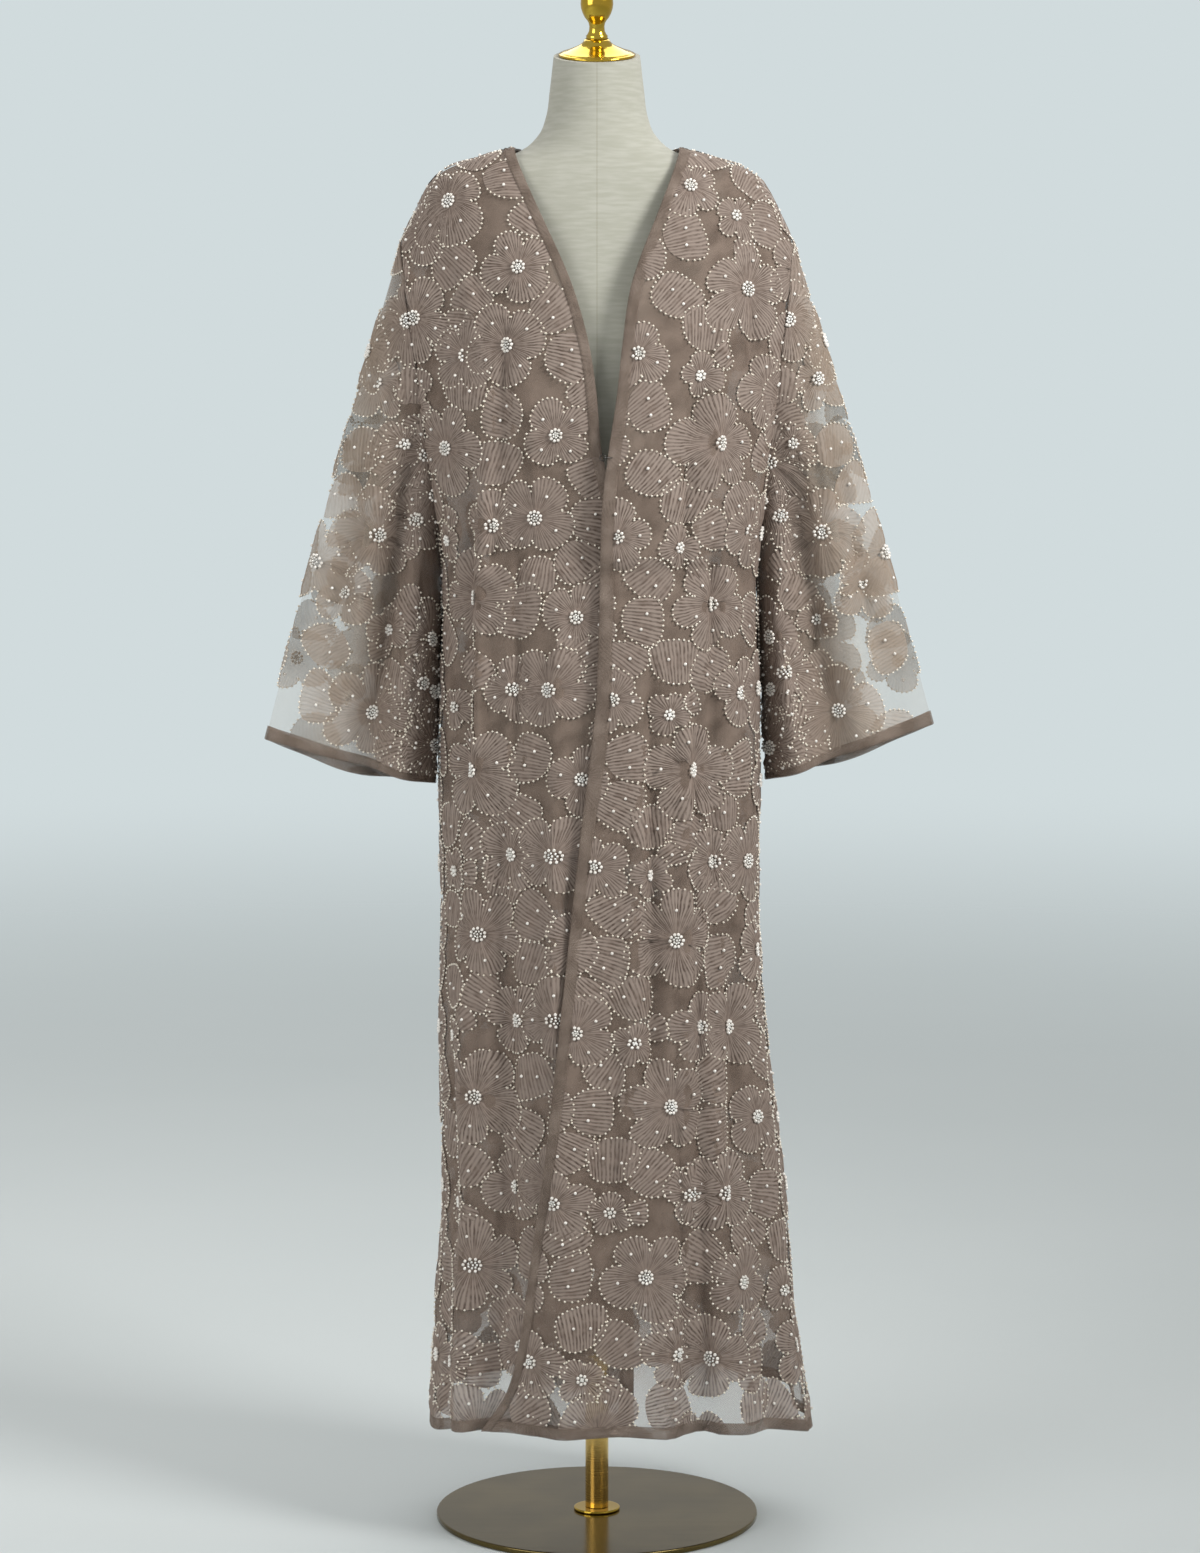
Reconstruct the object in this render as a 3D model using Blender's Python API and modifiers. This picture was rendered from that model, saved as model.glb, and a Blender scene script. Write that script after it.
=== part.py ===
"""An open-front abaya cloak of sheer embroidered net, hanging on a limbless dress form.

The cloak faces -Y and its wearer's left is at +X. The origin is the centre of the base plate's
underside. Every cloth panel is a thin wall over a surface worked out from the tables below: plan
sections against height for the skirt, a rounded yoke from the chest up to the shoulder seam, and
two wide sleeves that run from the dropped armholes to the cuffs.
"""
import math

import bmesh
import bpy
import numpy as np
from mathutils import Matrix

# ---- driving dimensions, in metres ----
WALL = 0.0012  # cloth wall
BAND_WALL = 0.0010  # turned hem, lying on its panel
SEAM = 0.0003  # gap between pieces at a seam
ARMHOLE_SEAM, ARMHOLE_DROP = 0.0008, 0.0003  # gap out and down where sleeve and body meet at an angle
BAND_GAP = 0.0005  # gap under a turned hem
CUFF_BAND_GAP = 0.0014  # the cuff's fold is sharper, so its hem keeps more room
EDGE_BAND = 0.010  # width of the front and neck hems
HEM_BAND = 0.012  # width of the bottom hem
CUFF_BAND = 0.015  # width of the cuff hems
OVERLAP = 0.0058  # how far each front leaves the common surface where they overlap
OVERLAP_FROM, OVERLAP_FULL = 1.26, 1.185  # heights between which the fronts part
OVERLAP_FADE = 0.5  # power by which the overlap's gap dies away towards the side seam

UNDERARM = 1.075  # height of the underarm points
HEM_HEIGHT, HEM_DIP, HEM_DIP_POWER = 0.134, 0.028, 6  # the hem dips towards the side seams
YOKE_CURVE = 2.6  # squareness of the yoke's arch from chest to shoulder seam
SECTION_CURVE = 2.25  # squareness of the plan sections
ARMHOLE_DEPTH = 0.062  # how far the armhole stands in front of and behind the shoulder line
ARMHOLE_RISE_POWER, ARMHOLE_FULLNESS = 0.8, 0.75  # where up the armhole that depth peaks, and how full it is
BULGE_POWER = 4  # how closely that depth keeps to the armhole
MEAN_RADIUS = 0.17  # of the skirt, for the width of its first column
NECK_SHARE = 0.43  # share of the half back that is neckline
BACK_NECK_DEPTH = 0.082  # how far the neckline stands behind the shoulder line
BACK_NECK_DROP = 0.006

# Plan sections of the skirt: height, centre x, half width, depth in front, depth behind
SECTIONS = (
    (0.100, 0.027, 0.215, 0.180, 0.172),
    (0.243, 0.019, 0.200, 0.174, 0.164),
    (0.356, 0.019, 0.191, 0.168, 0.157),
    (0.468, 0.012, 0.186, 0.163, 0.151),
    (0.580, 0.005, 0.180, 0.158, 0.146),
    (0.693, 0.003, 0.1755, 0.154, 0.142),
    (0.806, 0.002, 0.177, 0.151, 0.138),
    (0.950, 0.002, 0.176, 0.149, 0.132),
    (1.075, 0.002, 0.174, 0.147, 0.126),
)
# Front edges: height, x of the under front's edge, x of the over front's edge
FRONT_EDGES = (
    (0.130, 0.040, -0.125),
    (0.175, 0.040, -0.099),
    (0.240, 0.040, -0.0815),
    (0.310, 0.038, -0.0715),
    (0.450, 0.036, -0.051),
    (0.610, 0.033, -0.035),
    (0.770, 0.030, -0.0185),
    (0.935, 0.027, 0.000),
    (1.040, 0.024, 0.0035),
    (1.150, 0.017, 0.0070),
    (1.200, 0.005, 0.0130),
    (1.265, -0.001, 0.0225),
    (1.320, -0.009, 0.0280),
    (1.380, -0.025, 0.0360),
    (1.465, -0.060, 0.0650),
    (1.537, -0.092, 0.0920),
)
# Shoulder line from neck point to armhole seam: share, x, height
SHOULDER = (
    (0.00, 0.0920, 1.5370),
    (0.25, 0.1290, 1.5255),
    (0.60, 0.1790, 1.5040),
    (0.74, 0.1940, 1.4810),
    (0.87, 0.2050, 1.4580),
    (1.00, 0.2150, 1.4355),
)
# Folds of the skirt: plan angle in degrees from the front, half width in degrees,
# depth at the hem (outwards is positive), height at which the fold has run out
FOLDS = (
    (-64, 9, -0.010, 0.95),
    (-51, 9, 0.013, 1.05),
    (-32, 11, -0.006, 0.90),
    (-14, 8, 0.010, 1.02),
    (0, 8, -0.009, 1.00),
    (20, 10, -0.015, 1.08),
    (36, 9, 0.010, 0.95),
    (50, 8, -0.008, 0.85),
    (65, 9, 0.010, 0.95),
    (104, 9, -0.010, 0.90),
    (122, 10, 0.013, 1.00),
    (141, 9, -0.012, 0.90),
    (158, 9, 0.012, 1.05),
    (177, 9, -0.010, 0.95),
    (196, 9, 0.013, 1.00),
    (216, 9, -0.011, 1.05),
    (235, 10, 0.014, 0.95),
    (255, 9, -0.010, 0.90),
)
# Sleeves: side, armhole seam to cuff on the outer edge (x, height), inner edge of the cuff
# (x, height), how much lower the back of the cuff hangs
SLEEVES = {
    "left": (1, (0.376, 0.896), (0.189, 0.834), 0.010),
    "right": (-1, (0.371, 0.879), (0.181, 0.830), 0.014),
}
# Sleeve folds: share from the inner to the outer edge, half width, depth at armhole, depth at cuff
SLEEVE_FOLDS_FRONT = (
    (0.18, 0.21, 0.010, 0.044),
    (0.44, 0.13, -0.010, -0.003),
    (0.62, 0.20, 0.004, 0.010),
)
SLEEVE_FOLDS_BACK = (
    (0.25, 0.20, 0.006, 0.030),
    (0.52, 0.14, -0.008, -0.004),
    (0.76, 0.18, 0.003, 0.012),
)
SLEEVE_DEPTH = 0.014  # half depth of the cuff away from its folds
SLEEVE_BOW = 0.004  # how far the outer edge bows out of a straight line
SLEEVE_EASE = 1.3  # power by which the armhole's depth dies away down the sleeve

# Rows of the skirt as shares from hem to underarm, after the hem band, and of the yoke
SKIRT_ROWS = (0.09, 0.19, 0.30, 0.41, 0.53, 0.65, 0.77, 0.89, 1.0)
YOKE_ROWS = (0.05, 0.10, 0.17, 0.27, 0.40, 0.54, 0.69, 0.83, 0.95, 1.0)
OVER_FRONT_COLUMNS, UNDER_FRONT_COLUMNS, HALF_BACK_COLUMNS, SLEEVE_ROWS = 24, 18, 14, 8

# Dress form: height, half width, depth in front, depth behind
FORM = (
    (0.790, 0.128, 0.084, 0.088),
    (0.794, 0.138, 0.092, 0.096),
    (0.806, 0.146, 0.100, 0.104),
    (0.850, 0.153, 0.107, 0.111),
    (0.920, 0.154, 0.108, 0.112),
    (1.000, 0.140, 0.098, 0.099),
    (1.100, 0.118, 0.088, 0.081),
    (1.180, 0.128, 0.101, 0.083),
    (1.270, 0.146, 0.117, 0.091),
    (1.340, 0.153, 0.112, 0.096),
    (1.400, 0.162, 0.102, 0.097),
    (1.450, 0.170, 0.092, 0.092),
    (1.480, 0.171, 0.084, 0.080),
    (1.496, 0.166, 0.079, 0.071),
    (1.507, 0.153, 0.075, 0.066),
    (1.516, 0.134, 0.071, 0.063),
    (1.525, 0.106, 0.067, 0.062),
    (1.535, 0.083, 0.064, 0.062),
    (1.550, 0.0660, 0.0600, 0.0610),
    (1.572, 0.0565, 0.0555, 0.0555),
    (1.600, 0.0525, 0.0525, 0.0525),
    (1.639, 0.0480, 0.0480, 0.0480),
)
FORM_SIDES = 28
NECK_TILT = math.radians(13.5)  # the neck's top leans forward
NECK_TILT_FROM = 1.550
SHARP_ANGLE = math.radians(50)  # edges of the form sharper than this aren't smoothed over

BASE_RADIUS, BASE_HEIGHT, BASE_EDGE = 0.181, 0.006, 0.0015
FLANGE_RADIUS, FLANGE_HEIGHT, FLANGE_EDGE = 0.026, 0.003, 0.001
POLE_RADIUS = 0.013
TURNED_STEPS = 32
# Neck cap and finial: radius against height above the neck's top
CAP_PROFILE = ((0.0428, 0.0003), (0.0428, 0.0022), (0.0390, 0.0045), (0.0290, 0.0080), (0.0190, 0.0125),
               (0.0135, 0.0190))
FINIAL_PROFILE = ((0.0125, 0.0193), (0.0105, 0.0245), (0.0084, 0.0330), (0.0110, 0.0400), (0.0160, 0.0480),
                  (0.0182, 0.0580), (0.0165, 0.0680), (0.0115, 0.0750), (0.0060, 0.0780), (0.0062, 0.0820),
                  (0.0035, 0.0870))

HOOK_HEIGHT = 1.196
HOOK_WIRE = 0.0006
HOOK_BEND = 0.0018
HOOK_SHANK = 0.0070
HOOK_STAND = 0.0042  # how far it lies in front of the edges
EYE_RADIUS = 0.0032

COLLECTION = "abaya_cloak_on_dress_form"


# ---- tables and curves ----
def column(table, index):
    return np.array([row[index] for row in table], float)


def eased(at, xs, ys):
    """A smooth curve through a table: cubic pieces that take their slopes from the table itself."""
    slopes = np.gradient(ys, xs)
    at = np.clip(np.asarray(at, float), xs[0], xs[-1])
    i = np.clip(np.searchsorted(xs, at, side="right") - 1, 0, len(xs) - 2)
    step = xs[i + 1] - xs[i]
    t = (at - xs[i]) / step
    return (
        (2 * t**3 - 3 * t**2 + 1) * ys[i]
        + (t**3 - 2 * t**2 + t) * step * slopes[i]
        + (3 * t**2 - 2 * t**3) * ys[i + 1]
        + (t**3 - t**2) * step * slopes[i + 1]
    )


def bump(distance, half_width):
    """1 at the middle of a fold, easing to 0 at its half width."""
    return np.where(np.abs(distance) < half_width, np.cos(distance / half_width * math.pi / 2) ** 2, 0.0)


def signed_power(value, power):
    return np.sign(value) * np.abs(value) ** power


# ---- the body of the cloak ----
def hem_height(angle):
    return HEM_HEIGHT - HEM_DIP * np.abs(np.sin(angle)) ** HEM_DIP_POWER


def skirt_point(angle, height, lift):
    """Plan section at this height: a squared ellipse, with the folds growing towards the hem."""
    heights = column(SECTIONS, 0)
    centre, half_width, front, back = (eased(height, heights, column(SECTIONS, k)) for k in range(1, 5))
    depth = np.where(np.cos(angle) > 0, front, back)
    outward = np.stack([np.sin(angle) / half_width, -np.cos(angle) / depth], axis=-1)
    outward /= np.linalg.norm(outward, axis=-1, keepdims=True)
    turn = np.degrees(angle)
    offset = lift + sum(
        deep * bump(turn - at, wide) * np.clip(1 - (height - HEM_HEIGHT) / (top - HEM_HEIGHT), 0, 1)
        for at, wide, deep, top in FOLDS
    )
    x = centre + half_width * signed_power(np.sin(angle), 2 / SECTION_CURVE) + outward[..., 0] * offset
    y = -depth * signed_power(np.cos(angle), 2 / SECTION_CURVE) + outward[..., 1] * offset
    return np.stack([x, y, height], axis=-1)


def edge_angle(x, height):
    """The plan angle at which the skirt's section passes a given x."""
    heights = column(SECTIONS, 0)
    share = (x - eased(height, heights, column(SECTIONS, 1))) / eased(height, heights, column(SECTIONS, 2))
    return np.arcsin(signed_power(share, SECTION_CURVE / 2))


def yoke_curves(rise):
    """Shares of height and depth along the arch from the underarm level to the shoulder seam."""
    turn = rise * math.pi / 2
    return np.sin(turn) ** (2 / YOKE_CURVE), np.clip(np.cos(turn), 0, 1) ** (2 / YOKE_CURVE)


def armhole_bulge(rise):
    arch = np.sin(np.pi * np.clip(rise, 0, 1) ** ARMHOLE_RISE_POWER)
    return ARMHOLE_DEPTH * np.clip(arch, 0, 1) ** ARMHOLE_FULLNESS


def shoulder_point(share):
    shares = column(SHOULDER, 0)
    return eased(share, shares, column(SHOULDER, 1)), eased(share, shares, column(SHOULDER, 2))


def overlap_lift(height, side):
    """The over front stands out and the under front goes in, below the closure."""
    part = np.clip((OVERLAP_FROM - height) / (OVERLAP_FROM - OVERLAP_FULL), 0, 1)
    return side * OVERLAP * part * part * (3 - 2 * part)


def front_panel(side, columns):
    """A front from its edge (column 0) to its side seam and armhole, hem to shoulder seam."""
    edge_heights, edge_x = column(FRONT_EDGES, 0), column(FRONT_EDGES, 2 if side > 0 else 1)
    side_turn = side * (math.pi / 2) - side * SEAM / 2 / SECTIONS[-1][2]
    share = np.linspace(0, 1, columns + 1)
    rows = []
    for rise in (0.0, HEM_BAND / (UNDERARM - HEM_HEIGHT)) + SKIRT_ROWS:
        edge_z = HEM_HEIGHT + rise * (UNDERARM - HEM_HEIGHT)
        start = edge_angle(eased(edge_z, edge_heights, edge_x), edge_z)
        first = EDGE_BAND / (abs(side_turn - start) * MEAN_RADIUS)
        spread = np.where(share > 0, first + (1 - first) * (share - share[1]) / (1 - share[1]), 0.0)
        angle = start + (side_turn - start) * spread
        height = hem_height(angle) + rise * (UNDERARM - hem_height(angle))
        fade = (1 - spread) ** OVERLAP_FADE
        rows.append(skirt_point(angle, height, overlap_lift(height, side) * fade))
    base = rows[-1]
    reach = (base[:, 0] - base[0, 0]) / (base[-1, 0] - base[0, 0])
    for rise in YOKE_ROWS:
        up, out = yoke_curves(np.array(rise))
        arm_x = base[-1, 0] + (side * SHOULDER[-1][1] - base[-1, 0]) * up
        edge_z = UNDERARM + (SHOULDER[0][2] - UNDERARM) * up
        start_x = eased(edge_z, edge_heights, edge_x)
        first = EDGE_BAND / abs(arm_x - start_x)
        spread = np.where(share > 0, first + (1 - first) * (share - share[1]) / (1 - share[1]), 0.0)
        across = reach * (1 - up) + spread * up
        top_x, top_z = shoulder_point(spread)
        drop_x = start_x + (arm_x - start_x) * across
        x = drop_x * (1 - rise**4) + side * top_x * rise**4
        z = UNDERARM + (top_z - UNDERARM) * up
        lift = overlap_lift(z, side) * (1 - spread) ** OVERLAP_FADE * (1 - rise)
        y = -SEAM / 2 + (base[:, 1] + SEAM / 2) * out - armhole_bulge(rise) * across**BULGE_POWER - lift
        rows.append(np.stack([x, y, z], axis=-1))
    grid = np.array(rows)
    return grid if side > 0 else grid[:, ::-1]


def back_panel():
    """The back from the left side seam round to the right one, hem to shoulders and neckline."""
    share = np.linspace(-1, 1, 2 * HALF_BACK_COLUMNS + 1)
    half_turn = math.pi / 2 - SEAM / 2 / SECTIONS[-1][2]
    angle = math.pi + half_turn * share
    rows = []
    for rise in (0.0, HEM_BAND / (UNDERARM - HEM_HEIGHT)) + SKIRT_ROWS:
        height = hem_height(angle) + rise * (UNDERARM - hem_height(angle))
        rows.append(skirt_point(angle, height, 0.0))
    base = rows[-1]
    centre_x = SECTIONS[-1][1]
    across_base = (base[:, 0] - centre_x) / SECTIONS[-1][2]
    neck = np.clip(np.abs(share) / NECK_SHARE, 0, 1)
    shoulder_x, shoulder_z = shoulder_point(np.clip((np.abs(share) - NECK_SHARE) / (1 - NECK_SHARE), 0, 1))
    hollow = np.clip(1 - neck**2, 0, 1) ** 0.5
    top_x = -np.sign(share) * np.where(neck < 1, SHOULDER[0][1] * neck, shoulder_x)
    top_y = SEAM / 2 + BACK_NECK_DEPTH * hollow
    top_z = shoulder_z - BACK_NECK_DROP * hollow
    for rise in YOKE_ROWS:
        up, out = yoke_curves(np.array(rise))
        x = base[:, 0] + (top_x - base[:, 0]) * up
        y = top_y + (base[:, 1] - top_y) * out + armhole_bulge(rise) * np.abs(across_base) ** BULGE_POWER
        z = UNDERARM + (top_z - UNDERARM) * up
        rows.append(np.stack([x, y, z], axis=-1))
    return np.array(rows)


# ---- sleeves ----
def sleeve_grid(side, outer, inner, drop, front_edge, back_edge):
    """Rings from the armhole to the cuff: up the front from the underarm, and down the back."""
    share = yoke_curves(np.concatenate([[0.0], YOKE_ROWS]))[0]
    seam_out = np.array([side * ARMHOLE_SEAM, 0.0, -ARMHOLE_DROP])
    armhole = np.concatenate([front_edge, back_edge[-2:0:-1]]) + seam_out
    armhole[:, 1] += np.where(np.arange(len(armhole)) == 0, -front_edge[0, 1], 0.0)
    armhole[len(front_edge) - 1, 1] = 0.0
    shares = np.concatenate([share, share[-2:0:-1]])
    front = np.concatenate([np.ones(len(share)), -np.ones(len(share) - 2)])
    top, bottom = armhole[len(front_edge) - 1], armhole[0]
    cuff_in = np.array([side * inner[0], 0.0, inner[1]])
    cuff_out = np.array([side * outer[0], 0.0, outer[1]])
    length = np.linalg.norm(cuff_out - top)
    falls = np.concatenate([np.linspace(0, 1 - CUFF_BAND / length, SLEEVE_ROWS), [1.0]])
    rings = []
    for fall in falls:
        start, end = bottom + (cuff_in - bottom) * fall, top + (cuff_out - top) * fall
        end[0] += side * SLEEVE_BOW * math.sin(math.pi * fall)
        ring = start + (end - start) * shares[:, None]
        mouth = SLEEVE_DEPTH * (4 * shares * (1 - shares)) ** 0.5
        folds = np.zeros(len(shares))
        for sign, table in ((1, SLEEVE_FOLDS_FRONT), (-1, SLEEVE_FOLDS_BACK)):
            here = sum(
                (high + (low - high) * fall) * bump(shares - at, wide) for at, wide, high, low in table
            )
            folds += np.where(front == sign, here * min(1.0, 3 * fall), 0.0)
        gather = (1 - fall) ** SLEEVE_EASE
        ring[:, 1] = -front * (mouth * (1 - gather) + folds) + armhole[:, 1] * gather
        ring[:, 2] -= np.where(front < 0, drop * fall**2 * np.sin(np.pi * shares), 0.0)
        rings.append(ring if fall > 0 else armhole)
    return np.array(rings)


# ---- turning grids into objects ----
def clear_scene():
    for item in list(bpy.data.objects):
        bpy.data.objects.remove(item, do_unlink=True)


def new_material(name, colour, roughness, metallic=0.0):
    material = bpy.data.materials.new(name)
    material.use_nodes = True
    shader = material.node_tree.nodes["Principled BSDF"]
    shader.inputs["Base Color"].default_value = (*colour, 1.0)
    shader.inputs["Roughness"].default_value = roughness
    shader.inputs["Metallic"].default_value = metallic
    return material


def add_object(name, mesh, material, collection):
    mesh.materials.append(material)
    item = bpy.data.objects.new(name, mesh)
    collection.objects.link(item)
    return item


def grid_mesh(name, grid, around=False, flip=False):
    """A mesh of the grid's quads; around joins the last column to the first."""
    rows, columns = grid.shape[:2]
    row, col = np.meshgrid(np.arange(rows - 1), np.arange(columns if around else columns - 1), indexing="ij")
    nxt = (col + 1) % columns
    low, high = row * columns, (row + 1) * columns
    quads = np.stack([low + col, low + nxt, high + nxt, high + col], axis=-1).reshape(-1, 4)
    mesh = bpy.data.meshes.new(name)
    mesh.from_pydata(grid.reshape(-1, 3).tolist(), [], (quads[:, ::-1] if flip else quads).tolist())
    mesh.shade_smooth()
    return mesh


def cloth(name, grid, wall, material, collection, around=False, flip=False):
    """A cloth wall: the grid is its outer face and Solidify gives it thickness inwards."""
    item = add_object(name, grid_mesh(name, grid, around, flip), material, collection)
    solidify = item.modifiers.new("wall", "SOLIDIFY")
    solidify.thickness = wall
    solidify.offset = -1.0
    return item


def grid_normals(grid, around=False):
    """Unit normals of a grid, by differences along its rows and columns."""
    if around:
        along = np.roll(grid, -1, axis=1) - np.roll(grid, 1, axis=1)
    else:
        along = np.gradient(grid, axis=1)
    normals = np.cross(along, np.gradient(grid, axis=0))
    return normals / np.linalg.norm(normals, axis=-1, keepdims=True)


def trimmed(strip, axis, trim):
    """Draws the two ends of a strip in by a seam's gap, along its own facets."""
    strip = np.moveaxis(strip.copy(), axis, 0)
    for end, inside in ((0, 1), (-1, -2)):
        run = strip[inside] - strip[end]
        strip[end] += run * (trim / np.linalg.norm(run, axis=-1, keepdims=True))
    return np.moveaxis(strip, 0, axis)


def band(name, grid, rows, columns, trim_axis, material, collection, around=False, flip=False, gap=BAND_GAP):
    """A turned hem, made from its panel's own points moved out."""
    out = grid_normals(grid, around) * (-1 if flip else 1)
    raised = (grid + out * (gap + BAND_WALL))[rows, columns]
    if trim_axis is not None:
        raised = trimmed(raised, trim_axis, SEAM)
    return cloth(name, raised, BAND_WALL, material, collection, around, flip)


def turned(name, profile, material, collection, tilt=0.0, height=0.0):
    """A turned piece: the profile runs down its outer side and a Screw modifier carries it round."""
    mesh = bpy.data.meshes.new(name)
    points = [(0.0, 0.0, profile[-1][1])] + [(r, 0.0, z) for r, z in reversed(profile)]
    points.append((0.0, 0.0, profile[0][1]))
    mesh.from_pydata(points, [(i, i + 1) for i in range(len(points) - 1)], [])
    item = add_object(name, mesh, material, collection)
    screw = item.modifiers.new("turn", "SCREW")
    screw.steps = screw.render_steps = TURNED_STEPS
    screw.use_merge_vertices = True
    screw.merge_threshold = 0.00001
    item.matrix_world = Matrix.Translation((0, 0, height)) @ Matrix.Rotation(tilt, 4, "X")
    return item


# ---- the pieces ----
def build_cloak(collection):
    net = new_material("embroidered_net", (0.27, 0.20, 0.165), 0.85)
    hem_net = new_material("turned_hem", (0.21, 0.15, 0.125), 0.8)
    metal = new_material("dark_hook_metal", (0.06, 0.055, 0.05), 0.4, 1.0)
    over = front_panel(1, OVER_FRONT_COLUMNS)
    under = front_panel(-1, UNDER_FRONT_COLUMNS)
    back = back_panel()
    cloth("front_left", over, WALL, net, collection)
    cloth("front_right", under, WALL, net, collection)
    cloth("back", back, WALL, net, collection)

    everything, last = slice(None), slice(-2, None)
    band("edge_hem_left", over, everything, slice(0, 2), 0, hem_net, collection)
    band("edge_hem_right", under, everything, last, 0, hem_net, collection)
    neck_half = int(NECK_SHARE * HALF_BACK_COLUMNS)
    middle = slice(HALF_BACK_COLUMNS - neck_half, HALF_BACK_COLUMNS + neck_half + 1)
    band("neck_hem_back", back, last, middle, 1, hem_net, collection)
    band("bottom_hem_front_left", over, slice(0, 2), slice(1, None), 1, hem_net, collection)
    band("bottom_hem_front_right", under, slice(0, 2), slice(0, -1), 1, hem_net, collection)
    band("bottom_hem_back", back, slice(0, 2), everything, 1, hem_net, collection)

    first_yoke_row = len(SKIRT_ROWS) + 1
    for name, (side, outer, inner, drop) in SLEEVES.items():
        front_edge = (over[:, -1] if side > 0 else under[:, 0])[first_yoke_row:]
        back_edge = (back[:, 0] if side > 0 else back[:, -1])[first_yoke_row:]
        rings = sleeve_grid(side, outer, inner, drop, front_edge, back_edge)
        cloth(f"sleeve_{name}", rings, WALL, net, collection, around=True, flip=side > 0)
        band(f"cuff_hem_{name}", rings, last, everything, None, hem_net, collection, True, side > 0,
             CUFF_BAND_GAP)
    build_closure(over, under, metal, collection)


def build_closure(over, under, metal, collection):
    """A small hook on the over front's edge and the wire eye that it catches on the under front's."""
    spots = []
    for edge in (over[:, 0], under[:, -1]):
        order = np.argsort(edge[:, 2])
        spots.append(np.array([np.interp(HOOK_HEIGHT, edge[order, 2], edge[order, k]) for k in range(3)]))
    middle = (spots[0] + spots[1]) / 2
    front = min(spots[0][1], spots[1][1]) - HOOK_STAND
    curve = bpy.data.curves.new("hook", "CURVE")
    curve.dimensions = "3D"
    curve.bevel_depth = HOOK_WIRE
    curve.bevel_resolution = 2
    curve.use_fill_caps = True
    spline = curve.splines.new("POLY")
    turn = np.linspace(0, math.pi, 7)
    route = [(HOOK_SHANK, 0.0)]
    route += [(-HOOK_BEND * math.sin(a), HOOK_BEND - HOOK_BEND * math.cos(a)) for a in turn]
    route += [(HOOK_SHANK / 3, 2 * HOOK_BEND)]
    spline.points.add(len(route) - 1)
    for point, (along, out) in zip(spline.points, route):
        point.co = (middle[0] + along, front - out, HOOK_HEIGHT, 1.0)
    item = bpy.data.objects.new("hook", curve)
    curve.materials.append(metal)
    collection.objects.link(item)
    bpy.ops.mesh.primitive_torus_add(
        major_radius=EYE_RADIUS, minor_radius=HOOK_WIRE, major_segments=16, minor_segments=6,
        location=(middle[0] - EYE_RADIUS, front - HOOK_BEND, HOOK_HEIGHT), rotation=(math.pi / 2, 0, 0),
    )
    eye = bpy.context.object
    eye.name = "eye"
    eye.data.name = "eye"
    eye.data.materials.append(metal)
    for owner in list(eye.users_collection):
        owner.objects.unlink(eye)
    collection.objects.link(eye)


def build_form(collection):
    """The linen-covered torso and neck: squared ellipses against height, the neck's top leaning forward."""
    linen = new_material("linen", (0.60, 0.58, 0.48), 0.9)
    turn = np.linspace(0, 2 * math.pi, FORM_SIDES, endpoint=False)
    heights = np.array([row[0] for row in FORM])[:, None]
    half_width, front, back = (column(FORM, k)[:, None] for k in range(1, 4))
    lean = np.clip((heights - NECK_TILT_FROM) / (FORM[-1][0] - NECK_TILT_FROM), 0, 1)
    x = half_width * np.sin(turn)
    y = -np.where(np.cos(turn) > 0, front, back) * np.cos(turn)
    z = heights + y * np.tan(NECK_TILT * lean)
    rings = np.stack([x, y, np.broadcast_to(z, x.shape)], axis=-1)
    mesh = grid_mesh("dress_form", rings, around=True)
    shell = bmesh.new()
    shell.from_mesh(mesh)
    bmesh.ops.holes_fill(shell, edges=[edge for edge in shell.edges if edge.is_boundary], sides=FORM_SIDES)
    bmesh.ops.recalc_face_normals(shell, faces=shell.faces)
    shell.to_mesh(mesh)
    shell.free()
    mesh.set_sharp_from_angle(angle=SHARP_ANGLE)
    add_object("dress_form", mesh, linen, collection)


def build_stand(collection):
    """Base plate, flange, pole, and the neck's cap and finial."""
    bronze = new_material("brushed_bronze", (0.33, 0.29, 0.20), 0.3, 1.0)
    brass = new_material("polished_brass", (0.72, 0.55, 0.16), 0.15, 1.0)
    plate = ((BASE_RADIUS - BASE_EDGE, 0.0), (BASE_RADIUS, BASE_EDGE),
             (BASE_RADIUS, BASE_HEIGHT - BASE_EDGE), (BASE_RADIUS - BASE_EDGE, BASE_HEIGHT))
    turned("base_plate", plate, bronze, collection)
    flange_low = BASE_HEIGHT + SEAM
    flange_top = flange_low + FLANGE_HEIGHT
    flange = ((FLANGE_RADIUS, flange_low), (FLANGE_RADIUS, flange_top - FLANGE_EDGE),
              (FLANGE_RADIUS - FLANGE_EDGE, flange_top))
    turned("pole_flange", flange, brass, collection)
    pole_low, pole_top = flange_top + SEAM, FORM[0][0] - SEAM
    turned("pole", ((POLE_RADIUS, pole_low), (POLE_RADIUS, pole_top)), brass, collection)
    turned("neck_cap", CAP_PROFILE, brass, collection, NECK_TILT, FORM[-1][0])
    turned("finial", FINIAL_PROFILE, brass, collection, NECK_TILT, FORM[-1][0])


def main():
    clear_scene()
    collection = bpy.data.collections.new(COLLECTION)
    bpy.context.scene.collection.children.link(collection)
    build_stand(collection)
    build_form(collection)
    build_cloak(collection)


main()
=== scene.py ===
# %% [markdown]
# An open-front abaya cloak of sheer embroidered net on a limbless dress form.
# The net is a light taupe tulle. Flowers of finely pleated tulle are sewn on it, each one outlined with
# small pearly beads and closed in the middle by a cluster of pearls and silver crystals.
# The plan: repeat the cloak's panels as fine surfaces, crease them, turn the hems, then lay the flowers
# out flat and carry them onto the panels. The dress form and its brass stand come after the cloth.

# %% The frame
import math

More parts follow.
